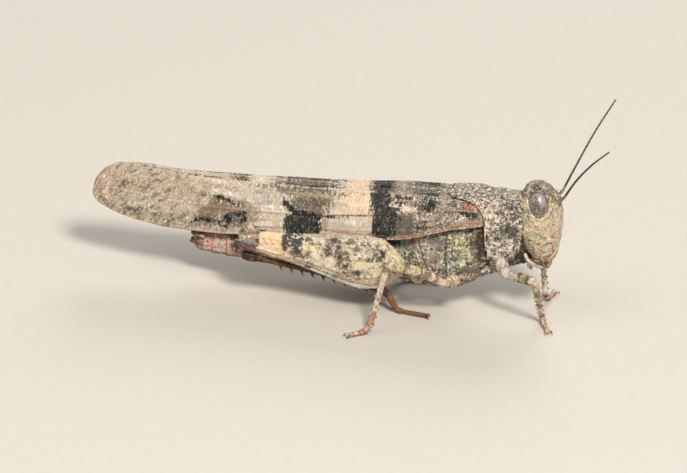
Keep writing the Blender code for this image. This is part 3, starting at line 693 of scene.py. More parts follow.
def wingFinish():
    # Cells between the veins are a stretched cell pattern on (along, across) coordinates. Each cell has its
    # own shade, and shifts the outlines of the bands, so that they step from cell to cell. Towards the tip
    # slanting flecks take over.
    finish = Finish("wingLeather")
    perAlong, perAcross = wing["cells"]
    along = finish.node("ShaderNodeSeparateXYZ", {}, {0: finish.place})
    across = finish.mark("runAcross")
    flat = finish.node("ShaderNodeCombineXYZ", {}, {0: along * perAlong, 1: across * perAcross})
    spot = finish.warped(flat, 0.6, 1.0, (0.8, 0.8, 0.0))
    cell = finish.cells(1.0, "Color", spot, loose=0.75)
    luck, other, third = (finish.channel(cell, name) for name in ("Red", "Green", "Blue"))
    wall = finish.cells(1.0, "Distance", spot, "DISTANCE_TO_EDGE", 0.75)
    net = finish.under(wall, 0.02, 0.14)
    heart = finish.under(finish.cells(1.0, "Distance", spot, loose=0.75), 0.12, 0.34)
    fine = finish.noise(9.0, 3.0, 0.65)
    grit = finish.noise(6.0, 4.0, 0.7)
    tip = finish.under(along, -15.0, -9.5)
    base = finish.edge(along, 2.5, 6.0)
    wander = (luck - 0.5) * 0.8 + (finish.noise(3.5, 3.0) - 0.5) * 0.8 + (grit - 0.5) * 0.9
    colour = finish.clouded(finish.noise(0.7, 4.0), 0.35, 0.65, wing["ground"])
    colour = painted(finish, colour, wing["coats"], wander)
    dark = finish.edge(finish.mark("dark") + wander * 0.24, -0.05, 0.05)
    light = 1.0 - dark
    busy = light * (1.0 - finish.edge(finish.mark("calm") + wander * 0.2, -0.15, 0.15) * 0.65)
    square = finish.node("ShaderNodeCombineXYZ", {}, {0: along, 1: across})
    turned = finish.node("ShaderNodeVectorRotate", {"rotation_type": "Z_AXIS"}, {0: square, "Angle": 0.75})
    drawn = finish.vectorMath("MULTIPLY", turned, (0.42, 1.0, 1.0))
    slant = finish.node("ShaderNodeTexNoise", {},
                        {"Vector": drawn, "Scale": 3.0, "Detail": 3.0, "Roughness": 0.6})
    patchy = finish.edge(other + (finish.noise(2.2, 3.0) - 0.5) * 1.4, 0.54, 0.66)
    lines = finish.edge(finish.mark("lineShare"), 0.25, 0.9)
    tones = wing["tones"]
    netPale, netDark = (tone(code) for code in tones["net"])
    linePale, lineRoot, lineDark = (tone(code) for code in tones["lines"])
    colour = finish.layered(colour, (
        (finish.edge(slant, 0.54, 0.64) * busy * (tip * 0.68 + 0.10), tones["fleck"]),
        (finish.under(slant, 0.37, 0.46) * busy * (tip * 0.35 + 0.10), tones["gleam"]),
        (finish.edge(third, 0.80, 0.84) * finish.edge(wall, 0.02, 0.12) * busy * 0.40, tones["dash"]),
        (net * (busy * 0.26 + light * 0.16 + dark * 0.80), finish.mix(dark, netPale, netDark)),
        (finish.edge(grit + base * 0.06, 0.57, 0.63) * busy * (base * 0.72 + 0.16), tones["pepper"]),
        (finish.under(grit, 0.37, 0.43) * busy * (base * 0.30 + 0.35), tones["salt"]),
        (heart * busy * finish.edge(other, 0.55, 0.7) * 0.50, tones["heart"]),
        ((1.0 - net) * dark * patchy * 0.45, tones["window"]),
        (lines * (0.52 - tip * 0.44), finish.mix(dark, finish.mix(base, linePale, lineRoot), lineDark)),
    ))
    height = net * 0.8 + lines * 0.5 + finish.noise(12.0, 2.0) * 0.25
    return finish.finished(finish.scaled(colour, luck * 0.14 + fine * 0.16 + 0.85), 0.58 + luck * 0.12,
                           height, 0.022, {"Specular IOR Level": 0.18})


wingLeather = wingFinish()
for label in sides:
    makeWing(label, wingLeather)
print("forewings are made")


# the cuticle's common finish

def cuticle(name, look):
    # Two ground tones in clouds, then the piece's own coats, a net of dark lines, mottles from coarse to
    # fine, dots of several sizes, and a grain of granules and fine pits that also shades the colour. A net
    # is (per mm, width, tone, cover), a mottle has a threshold in place of the width, and dots have a radius
    # and a share of the cells. Where the calm mark is, all of them fade by its share.
    finish = Finish(name)
    wander = (finish.noise(2.6, 4.0) - 0.5) * 1.3 + (finish.noise(9.0, 2.0) - 0.5) * 0.6
    colour = finish.clouded(finish.noise(look["cloud"], 4.0), 0.38, 0.62, look["ground"])
    colour = painted(finish, colour, look["coats"], wander)
    calm, quiet = look.get("calm", ("", 0))
    busy = 1.0 - finish.edge(finish.mark(calm) + wander * 0.15, -0.1, 0.1) * quiet if calm else 1.0
    layers = []
    for perMm, width, code, cover in look.get("net", ()):
        spot = finish.warped(finish.place, perMm * 0.8, 2.0, (0.5 / perMm,) * 3)
        wall = finish.cells(perMm, "Distance", spot, "DISTANCE_TO_EDGE")
        broken = finish.edge(finish.noise(perMm * 0.5, 3.0), 0.42, 0.54)
        layers.append((finish.under(wall, width * 0.4, width) * broken * cover, code))
    for perMm, low, code, cover in look["mottle"]:
        patch = finish.edge(finish.noise(perMm, 3.0, 0.66), low, low + 0.06)
        if low < 0.5:  # a low threshold stands for the hollows of the pattern
            patch = 1.0 - patch
        layers.append((patch * cover, code))
    for perMm, radius, share, code, cover in look["dots"]:
        layers.append((finish.dots(perMm, radius, share) * cover, code))
    colour = finish.layered(colour, [(share * busy, code) for share, code in layers])
    perMm, depth = look["grain"]
    granule = finish.under(finish.cells(perMm), 0.0, 0.55)
    fine = finish.noise(perMm * 2.2, 3.0)
    colour = finish.scaled(colour, granule * 0.14 + fine * 0.20 + 0.83)
    shine = {"Specular IOR Level": look["shine"]} if "shine" in look else {}
    rough = look["rough"] + (fine - 0.5) * 0.25
    return finish.finished(colour, rough, granule + fine * 0.5, depth, shine)


# head

head = {
    # height, back, front, half width, power of the outline behind its widest point
    "keys": ((5, 15.1, 16.55, 1.2, 2.3), (5.45, 14.72, 16.82, 1.62, 2.8), (6.3, 14.22, 16.95, 1.95, 3.8),
             (7.4, 13.9, 16.99, 2.1, 4.6), (8.6, 13.72, 16.96, 2.05, 4.6), (9.6, 13.62, 16.82, 1.84, 3.6),
             (10.3, 13.62, 16.58, 1.52, 2.5), (10.85, 13.8, 16.08, 1.15, 2.1),
             (11.22, 14.08, 15.5, 0.72, 2), (11.36, 14.38, 15.08, 0.35, 2), (11.39, 14.62, 14.9, 0.1, 2)),
    "rows": 190,
    "columns": 240,
    "widest": 0.4,
    "frontPower": 2.3,
    "marks": {
        "dark": ((14.8, 11.2, 0.4, 0.14), (15.35, 10.95, 0.2, 0.09, -20), (14.35, 10.85, 0.16, 0.1),
                 (15.9, 10.5, 0.14, 0.08, -30), (15.86, 7.44, 0.15, 0.13), (16.15, 6.9, 0.3, 0.07, 12),
                 (15.35, 6.92, 0.18, 0.09), (14.25, 9.15, 0.2, 0.06, -10), (15, 6.3, 0.1, 0.08),
                 (14.62, 7.15, 0.1, 0.09), (14.9, 8.1, 0.09, 0.09), (16.3, 8.5, 0.14, 0.07, 30),
                 (15.6, 6.3, 0.1, 0.07), (16.4, 7.4, 0.07, 0.06)),
        "peach": ((15.4, 8.75, 0.8, 0.4), (16.4, 7.9, 0.4, 0.7), (15.3, 6.4, 0.5, 0.35),
                  (16.6, 9.2, 0.3, 0.5), (16.3, 5.5, 0.4, 0.6)),
        "gold": ((14.75, 8.2, 0.4, 0.6), (16.2, 9.9, 0.25, 0.3)),
        "amber": ((13.98, 10.06, 0.33, 0.24),),
        "rust": ((16.5, 6.3, 0.1, 0.4, 8), (16.28, 5.75, 0.08, 0.5, -14), (16, 5.3, 0.1, 0.4, -30)),
        "olive": ((14.75, 7.2, 0.5, 1.1), (15.3, 7.4, 0.4, 0.4), (14.3, 9, 0.25, 0.7),
                  (16.2, 9.4, 0.3, 0.5), (14.9, 6, 0.4, 0.4)),
        "crown": ((15, 11, 1.6, 0.65), (14, 10.7, 0.5, 0.6), (13.75, 9.5, 0.25, 0.3),
                  (16.3, 10.6, 0.5, 0.5), (16.6, 10, 0.3, 0.4)),
        "calm": ((15.6, 8, 1.1, 1.1), (16.5, 7.2, 0.6, 1.6), (15.2, 6.4, 0.5, 0.5), (14.6, 11.1, 0.8, 0.4),
                 (13.98, 10.06, 0.4, 0.3)),
        "pink": ((15.7, 5.7, 0.3, 0.35), (16.6, 7, 0.25, 0.4), (15.9, 8.1, 0.35, 0.3),
                 (15.2, 5.4, 0.3, 0.3)),
    },
    "look": {
        "cloud": 1.6, "calm": ("calm", 0.25), "ground": ("d6c5ab", "c8b69b"),
        "coats": {
            "crown": ("6d6453", "7e7360", 0.16, 0.5, 0.92), "olive": ("a39976", "b3a883", 0.15, 0.6, 0.8),
            "peach": ("dbc2a3", "d6b793", 0.14, 0.5, 0.75), "pink": ("cdb39c", "c6a78f", 0.12, 0.4, 0.7),
            "gold": ("cbb68a", "bda878", 0.1, 0.4, 0.8), "amber": ("dcbb8c", "cfae80", 0.05, 0.12, 0.9),
            "rust": ("bd7a4e", "a56844", 0.05, 0.1, 0.85), "dark": ("362e25", "4a3f32", 0.04, 0.12, 0.9),
        },
        "net": ((3.6, 0.1, "665b42", 0.6),),
        "mottle": ((3.4, 0.56, "85785c", 0.6), (2.8, 0.41, "ecdfc8", 0.7), (6.2, 0.565, "40372a", 0.7),
                   (9, 0.59, "3a3126", 0.45)),
        "dots": ((3.6, 0.3, 0.35, "544732", 0.75), (6.5, 0.34, 0.35, "3d3427", 0.6),
                 (5, 0.3, 0.18, "e6dac2", 0.6)),
        "grain": (7.5, 0.034), "rough": 0.56, "shine": 0.22,
    },
    # degrees of lean back and tilt in
    "eye": {
        "centre": (15.03, 1.27, 9.86), "radii": (0.87, 0.76, 1.25), "lean": 14, "tilt": 15,
        "tones": {
            "ground": ("5d534b", "7d7269"), "streak": "352c28", "pale": "c4b8ac", "spot": "2b2320",
            "mauve": "a89b9c", "ring": "a0957f", "rim": "4f463b",
        },
    },
    "levels": (5.0, 6.39, 0.92),  # lowest level, height, and how the rows crowd to the crown
    "ocelli": (((16.98, 0, 9.3), (0.05, 0.075, 0.09)), ((16.38, 0.6, 10.62), (0.07, 0.06, 0.07)),
               ((16.38, -0.6, 10.62), (0.07, 0.06, 0.07))),
}


def eyeTurn(side):
    # The eye leans back at the top and tilts in: a turn about X, then one about Y.
    tilt = side * math.radians(head["eye"]["tilt"])
    cosine, sine = math.cos(tilt), math.sin(tilt)
    aboutX = np.array(((1, 0, 0), (0, cosine, -sine), (0, sine, cosine)))
    return leaned(-head["eye"]["lean"]) @ aboutX


def eyeRadius(points, side):
    # How many eye radii a point lies from the eye's centre, and where it lies in the eye's own axes.
    local = (points - mirrored(head["eye"]["centre"], side)) @ eyeTurn(side)
    return np.linalg.norm(local / head["eye"]["radii"], axis=-1), local


def makeHead():
    # A stack of plan outlines: at each level a superellipse whose widest place is a set share from the back.
    # Relief: the frontal ridge with its two keels, the cheek furrow, the mouth-shield's seam, the crown's
    # keels, a collar at the back and a lip round each eye.
    angle = circle(head["columns"])
    lowest, tall, crowding = head["levels"]
    levels = lowest + tall * (0.5 - 0.5 * np.cos(np.pi * np.linspace(0, 1, head["rows"]))) ** crowding
    back, front, half, curve = through(head["keys"], levels).T[:, :, None]
    middle = back + (front - back) * head["widest"]
    ahead = np.cos(angle) > 0
    bend = 2 / np.where(ahead, head["frontPower"], curve)
    rings = pointsAt(middle + np.where(ahead, front - middle, middle - back) * power(np.cos(angle), bend),
                     half * power(np.sin(angle), bend), levels[:, None])
    x, out, z = rings[..., 0], np.abs(rings[..., 1]), rings[..., 2]
    face = rise(16.3, 16.7, x + 0.25 * rise(9.8, 10.9, z)) * rise(6.3, 6.7, z)
    keel = 0.17 + 0.13 * rise(9.6, 6.4, z)
    cheek = through(((6.2, 1.02), (8.0, 1.20), (9.4, 0.95), (10.0, 0.8)), z)
    furrow = x - through(((6.0, 15.55), (7.4, 15.72), (8.9, 15.55)), z)
    furrowed = rise(9.0, 8.7, z) * rise(1.0, 1.2, out)
    seam = through(((0, 6.28), (0.9, 6.10), (1.4, 5.75), (2.0, 5.5)), out)
    height = 0.04 * rise(keel + 0.05, keel - 0.05, out) * face + relief(
        (0.075, out - keel, 0.065, face * rise(11.0, 10.6, z)),
        (0.05, out - cheek, 0.07, rise(15.9, 16.2, x) * rise(6.2, 6.5, z) * rise(9.6, 9.2, z)),
        (-0.06, furrow, 0.05, furrowed),
        (0.03, furrow - 0.12, 0.06, furrowed),
        (-0.07, z - seam, 0.05, rise(15.4, 15.8, x)),
        (0.045, out - 0.42, 0.05, rise(10.75, 10.95, z) * rise(14.7, 15.0, x)),
        (0.025, out, 0.04, rise(10.8, 11.0, z)),
        (0.05, x - back - 0.08, 0.10, rise(5.4, 6.4, z) * rise(10.9, 10.3, z)),
    )
    height += 0.05 * rise(seam, seam - 0.25, z) * rise(16.0, 16.4, x)
    height += 0.014 * ripple(rings, 0.45, 21) + 0.02 * ripple(rings, 1.6, 22)
    for side in sides.values():
        radius, _ = eyeRadius(rings, side)
        height += relief((0.035, radius - 1.09, 0.06, 1), (-0.02, radius - 1.28, 0.06, 1))
    shapes = [loft(rings, height, marksAt(rings, head["marks"]))]
    shapes += [ballAt(centre, radii, 10, 14) for centre, radii in head["ocelli"]]
    addPiece("headShell", shapes, cuticle("headShell", head["look"]), "head")


def makeEye(label, finish):
    # An ellipsoid. Its marks are the distance from the rim that meets the head, and a mauve patch.
    side = sides[label]
    radii = head["eye"]["radii"]
    shape = ballAt(mirrored(head["eye"]["centre"], side), radii, 110, 150, eyeTurn(side))
    _, local = eyeRadius(shape["points"], side)
    across, upward = local[:, 0] / radii[0], local[:, 2] / radii[2]
    shape["marks"]["rimAway"] = 0.90 - np.hypot(across, upward) - 0.3 * (local[:, 1] * side < 0)
    shape["marks"]["mauve"] = 0.32 - np.hypot(across - 0.50, (upward - 0.40) * 0.8)
    addPiece("eyeSide", [shape], finish, "eye_side", label)


def eyeFinish():
    # Fine facets as raised cells; a smoky ground with dark and pale patches and small dark spots, a pale
    # ring near the rim and a dark line outside it.
    finish = Finish("eyeFacets")
    tones = head["eye"]["tones"]
    patch = finish.noise(5.0, 3.0, 0.65)
    mauve = finish.edge(finish.mark("mauve") + (finish.noise(5.0, 3.0) - 0.5) * 0.5, -0.06, 0.06)
    rim = finish.mark("rimAway") + (finish.noise(3.0, 2.0) - 0.5) * 0.06
    colour = finish.layered(finish.clouded(finish.noise(2.4, 3.0), 0.38, 0.62, tones["ground"]), (
        (finish.edge(patch, 0.50, 0.57) * 0.80, tones["streak"]),
        (finish.under(finish.noise(6.0, 3.0, 0.65), 0.37, 0.43) * 0.75, tones["pale"]),
        (finish.dots(4.5, 0.34, 0.5) * 0.75, tones["spot"]),
        (mauve * 0.60, tones["mauve"]),
        (finish.edge(rim, 0.03, 0.07) * finish.under(rim, 0.15, 0.21) * 0.50, tones["ring"]),
        (finish.under(rim, 0.0, 0.05) * 0.55, tones["rim"]),
    ))
    facets = finish.edge(finish.cells(17.0, loose=0.35), 0.0, 0.6)
    return finish.finished(colour, 0.30, 1.0 - facets, 0.006,
                           {"Coat Weight": 0.9, "Coat Roughness": 0.27, "Specular IOR Level": 0.4})


feelers = {
    "path": ((16.98, 0.72, 10.56), (17.75, 1.55, 12.35), (18.95, 3.4, 14.75), (20.35, 5.45, 17)),
    "base": ((16.42, 0.52, 10), (16.72, 0.62, 10.26), (17.02, 0.74, 10.64)),
    "baseSections": ((0, 0.2, 0.2), (0.15, 0.21, 0.21), (0.5, 0.17, 0.17), (0.62, 0.12, 0.12),
                     (0.78, 0.14, 0.14), (1, 0.1, 0.1)),
    "shift": {"left": -0.2, "right": 0},
    "joints": 25,
    "radius": (0.105, 0.09, 0.08, 0.062),
    "look": {
        "cloud": 1.5, "ground": ("3a2d22", "4a3a2c"),
        "coats": {"honey": ("8f7f5c", "7a6a4c", 0.2, 0.2, 0.9)}, "mottle": ((4, 0.6, "6b563f", 0.5),),
        "dots": (), "grain": (12, 0.012), "rough": 0.45,
    },
}


def makeFeeler(label, finish):
    # A thread of short joints: the radius swells inside each joint and pinches at its ends.
    side = sides[label]
    joints = feelers["joints"]
    shift = (feelers["shift"][label], 0, 0)
    share = np.linspace(0, 1, joints * 8 + 1)
    widths = np.interp(share, np.linspace(0, 1, len(feelers["radius"])), feelers["radius"])
    pinch = np.abs(np.sin(np.pi * share * joints))
    widths = widths * (0.80 + 0.20 * pinch ** 0.5) * np.sqrt(np.clip((1 - share) * 60, 0.02, 1))
    rings, along, _ = roundRings(mirrored(feelers["path"], side) + shift, share, widths, 14)
    thread = loft(rings, 0, {"honey": 0.8 - along * 14})
    scape, _, _ = limbRings(mirrored(feelers["base"], side) + shift, feelers["baseSections"], 40, 22)
    shapes = [thread, loft(scape, 0, {"honey": 0.5})]
    addPiece("feelerSide", shapes, finish, "antenna_side", label)


mouth = {
    # path and number of joints
    "palps": {
        "maxillary": (((14.3, 1.46, 5.7), (14.6, 1.6, 5.22), (15.18, 1.6, 4.84), (15.92, 1.44, 4.56)), 4),
        "labial": (((14.7, 0.62, 4.95), (14.68, 0.72, 4.42), (15.02, 0.74, 4.06)), 3),
    },
    "palpRadius": 0.145,
    # centres, radii and the lip's lean in degrees
    "lip": ((16.22, 0, 4.55), (0.3, 0.88, 0.5), 12),
    "jaw": ((15.36, 0.78, 4.92), (0.64, 0.62, 0.56)),
    "look": {
        "cloud": 1.6, "ground": ("a98a6b", "8f7156"),
        "coats": {
            "horn": ("5a4535", "46362a", 0.15, 0.3, 0.9), "darkTip": ("3f281d", "2f1e17", 0.06, 0.1, 0.9),
            "palp": ("d8c6b2", "b39c86", 0.1, 0.2, 0.9),
        },
        "mottle": ((3.5, 0.55, "86604a", 0.6), (5, 0.41, "e2cdb2", 0.5)),
        "dots": ((5.5, 0.32, 0.35, "4f3a2d", 0.6),), "grain": (8, 0.018), "rough": 0.48,
    },
}


def makeMouth(finish):
    # The lip is an ellipsoid with a middle furrow and a notched lower edge; jaws have dark cutting edges;
    # palps are rods that pinch at their joints.
    centre, radii, lean = mouth["lip"]
    lip = ballAt(centre, radii, 60, 80, leaned(lean))
    points = lip["points"]
    points[:, 2] += 0.12 * hump(points[:, 1], 0.14) * rise(4.5, 4.1, points[:, 2])
    points[:, 0] -= 0.05 * hump(points[:, 1], 0.10) * rise(16.2, 16.4, points[:, 0])
    lip["marks"]["darkTip"] = 4.22 - points[:, 2]
    addPiece("lip", [lip], finish, "labrum")
    for label, side in sides.items():
        centre, radii = mouth["jaw"]
        jaw = ballAt(mirrored(centre, side), radii, 40, 50)
        jaw["marks"] = {"darkTip": 4.52 - jaw["points"][:, 2], "horn": 5.10 - jaw["points"][:, 2]}
        addPiece("jawSide", [jaw], finish, "mandible_side", label)
        for kind, (path, joints) in mouth["palps"].items():
            share = np.linspace(0, 1, joints * 14)
            swell = np.abs(np.sin(np.pi * share * joints)) ** 0.45
            end = np.sqrt(np.clip((1 - share) * 9, 0.05, 1))
            widths = mouth["palpRadius"] * (0.72 + 0.28 * swell) * end
            rings, _, _ = roundRings(mirrored(path, side), share, widths, 20)
            palp = loft(rings, 0, {"palp": 0.5, "darkTip": -0.5})
            addPiece(f"{kind}PalpSide", [palp], finish, f"palp_{kind}_side", label)


makeHead()
facetFinish = eyeFinish()
feelerFinish = cuticle("feelerHorn", feelers["look"])
for label in sides:
    makeEye(label, facetFinish)
    makeFeeler(label, feelerFinish)
makeMouth(cuticle("mouthHorn", mouth["look"]))
print("head, eyes, feelers and mouth are made")


# saddle over the thorax

saddle = {
    "crest": ((7.6, 9.87), (9.2, 10.02), (10.3, 10.1), (11.2, 9.98), (12.4, 10.12), (13.85, 10.24)),
    "halfWidth": ((7.6, 2.72), (10.3, 2.86), (11.2, 2.74), (12.4, 2.6), (13.2, 2.4), (14, 2.1)),
    "power": ((7.6, 4.2), (10.3, 4), (12.4, 3.2), (13.95, 2.7)),
    # from 0 on the crest to 1 at the lobe's hem: rear edge, front edge
    "edges": (
        (0, 7.75, 13.66), (0.12, 8.05, 13.66), (0.25, 9.2, 13.7), (0.36, 9.98, 13.76), (0.5, 10.5, 13.86),
        (0.65, 10.85, 13.96), (0.8, 10.95, 13.94), (0.92, 11.05, 13.86), (1, 11.4, 13.5),
    ),
    "hem": 5.25,
    "tuck": 0.1,
    "thick": 0.14,
    "rows": 150,
    "columns": 320,
    # place on the crest, and how far each bows forward
    "furrows": ((11.25, 0.25), (12.35, 0.15), (13.25, 0.1)),
    "specks": 150,  # dark round specks at random places
    "marks": {
        "calm": ((12.95, 7.86, 0.72, 0.36, 5), (13.22, 7.45, 0.38, 0.34)),
        "dark": ((12.95, 7.88, 0.68, 0.32, 5), (13.22, 7.45, 0.34, 0.3), (12.42, 6.9, 0.16, 0.12),
                 (12.05, 7.15, 0.12, 0.1), (11.2, 7.2, 0.16, 0.3), (11.35, 6.3, 0.16, 0.14),
                 (12.5, 8.15, 0.5, 0.14, 10), (13.3, 9.55, 0.5, 0.1), (12.2, 9.75, 0.3, 0.08),
                 (13.05, 9.2, 0.22, 0.12), (13.45, 8.95, 0.16, 0.12), (12.6, 8.9, 0.2, 0.1, 20),
                 (13.55, 9.28, 0.16, 0.1), (12.2, 9.3, 0.15, 0.1), (13.75, 8.5, 0.12, 0.2)),
        "pale": ((12.32, 7.46, 0.28, 0.3), (11.9, 6.2, 0.55, 0.7), (12.9, 6.2, 0.7, 0.55),
                 (11.6, 8.6, 0.5, 0.6), (11.2, 9.1, 0.4, 0.4), (13.3, 5.7, 0.4, 0.3),
                 (10.98, 7.9, 0.12, 0.9, -4)),
        "gold": ((13.5, 8.7, 0.5, 0.28), (13.8, 9.98, 0.18, 0.14), (12.5, 8.75, 0.4, 0.2),
                 (12.9, 7, 0.3, 0.15), (13.9, 9.2, 0.2, 0.4)),
        "peach": ((13.95, 8, 0.2, 0.7), (12.5, 9.1, 0.8, 0.22), (11.5, 9.5, 0.5, 0.25),
                  (12.1, 5.6, 0.5, 0.2), (10.4, 9.75, 0.6, 0.2, -20), (13.8, 6.5, 0.2, 0.4)),
        "brown": ((12.9, 9.15, 0.9, 0.55), (12.6, 8.35, 0.9, 0.25), (13.6, 7.4, 0.25, 0.6),
                  (10, 10, 1.6, 0.12, 4), (11.2, 6.7, 0.25, 0.8)),
    },
    "look": {
        "cloud": 1.3, "calm": ("calm", 0.75), "ground": ("b9aa96", "a79884"),
        "coats": {
            "brown": ("72675a", "837564", 0.16, 0.6, 0.82), "gold": ("bdb088", "c3b78f", 0.1, 0.45, 0.75),
            "peach": ("cdae95", "c2a189", 0.1, 0.4, 0.75), "pale": ("e8dcc8", "dccdb7", 0.12, 0.36, 0.92),
            "dark": ("414541", "50524d", 0.06, 0.16, 0.92),
            "hemLine": ("dac6ab", "cdb596", 0.04, 0.08, 0.85),
            "speck": ("2a2520", "3a342c", 0.03, 0.1, 0.88),
        },
        "net": ((4, 0.085, "2a241f", 0.84),),
        "mottle": ((1.1, 0.52, "675b4f", 0.6), (2.2, 0.56, "665a4e", 0.7), (4.2, 0.565, "2b241f", 0.85),
                   (3.8, 0.41, "e8dece", 0.78), (7.5, 0.58, "261f1a", 0.6)),
        "dots": ((3.4, 0.34, 0.35, "241e18", 0.88), (4.6, 0.32, 0.25, "ece2d2", 0.75)),
        "grain": (5.5, 0.06), "rough": 0.66, "shine": 0.16,
    },
}


def makeSaddle():
    # Each row runs round from hem to hem as a superellipse, between a rear and a front edge. Relief: the
    # keel along the crest, cut by the cross furrows, shoulder keels, rolled edges and low granules.
    around = np.linspace(-1, 1, saddle["columns"])
    rear, front = through(saddle["edges"], np.abs(around)).T
    along = np.linspace(0, 1, saddle["rows"])[:, None]
    behind, ahead = along * (front - rear), (1 - along) * (front - rear)
    x = rear + (front - rear) * along
    crest, width, bend = (through(saddle[key], x) for key in ("crest", "halfWidth", "power"))
    quarter = np.abs(around) * np.pi / 2
    tuck = 1 - saddle["tuck"] * np.clip((np.abs(around) - 0.6) / 0.4, 0, 1) ** 2
    reach = width * np.sin(quarter) ** (2 / bend) * tuck
    z = saddle["hem"] + (crest - saddle["hem"]) * np.cos(quarter) ** (2 / bend)
    grid = pointsAt(x, np.sign(around) * reach, z)
    turn = np.abs(around)[None, :] + 0 * x
    furrow = np.zeros(x.shape)
    for at, bow in saddle["furrows"]:
        line = at + bow * rise(0.1, 0.6, turn)
        furrow = np.maximum(furrow, hump(x - line, 0.075) * rise(0.92, 0.75, turn))
    height = -0.075 * furrow + relief(
        (0.12, reach, 0.10, 1 - 0.85 * furrow),
        (0.05, turn - 0.47, 0.022, rise(11.6, 11.0, x)),
        (0.03, ahead, 0.09, 1),
        (0.02, behind, 0.07, rise(0.4, 0.6, turn)),
        (0.05, z - saddle["hem"], 0.12, 1),
    )
    height += 0.022 * ripple(grid, 0.42, 31) + 0.03 * ripple(grid, 1.4, 32)
    marks = marksAt(grid, saddle["marks"])
    marks["hemLine"] = np.where(turn < 0.30, -1.0, np.maximum(0.13 - behind, 0.10 - (z - saddle["hem"])))
    dice = np.random.default_rng(12)
    marks["speck"] = np.full(x.shape, -1.0)
    for row, column in dice.integers((0, 0), x.shape, (saddle["specks"], 2)):
        away = np.linalg.norm(grid - grid[row, column], axis=-1)
        marks["speck"] = np.maximum(marks["speck"], dice.uniform(0.05, 0.13) - away)
    thick = saddle["thick"] * (0.35 + 0.65 * rise(0, 0.6, behind))
    shape = leaf(grid, thick, height, marks, (11.5, 0, 7))
    addPiece("saddle", [shape], cuticle("saddleShell", saddle["look"]), "pronotum")


# thorax and abdomen

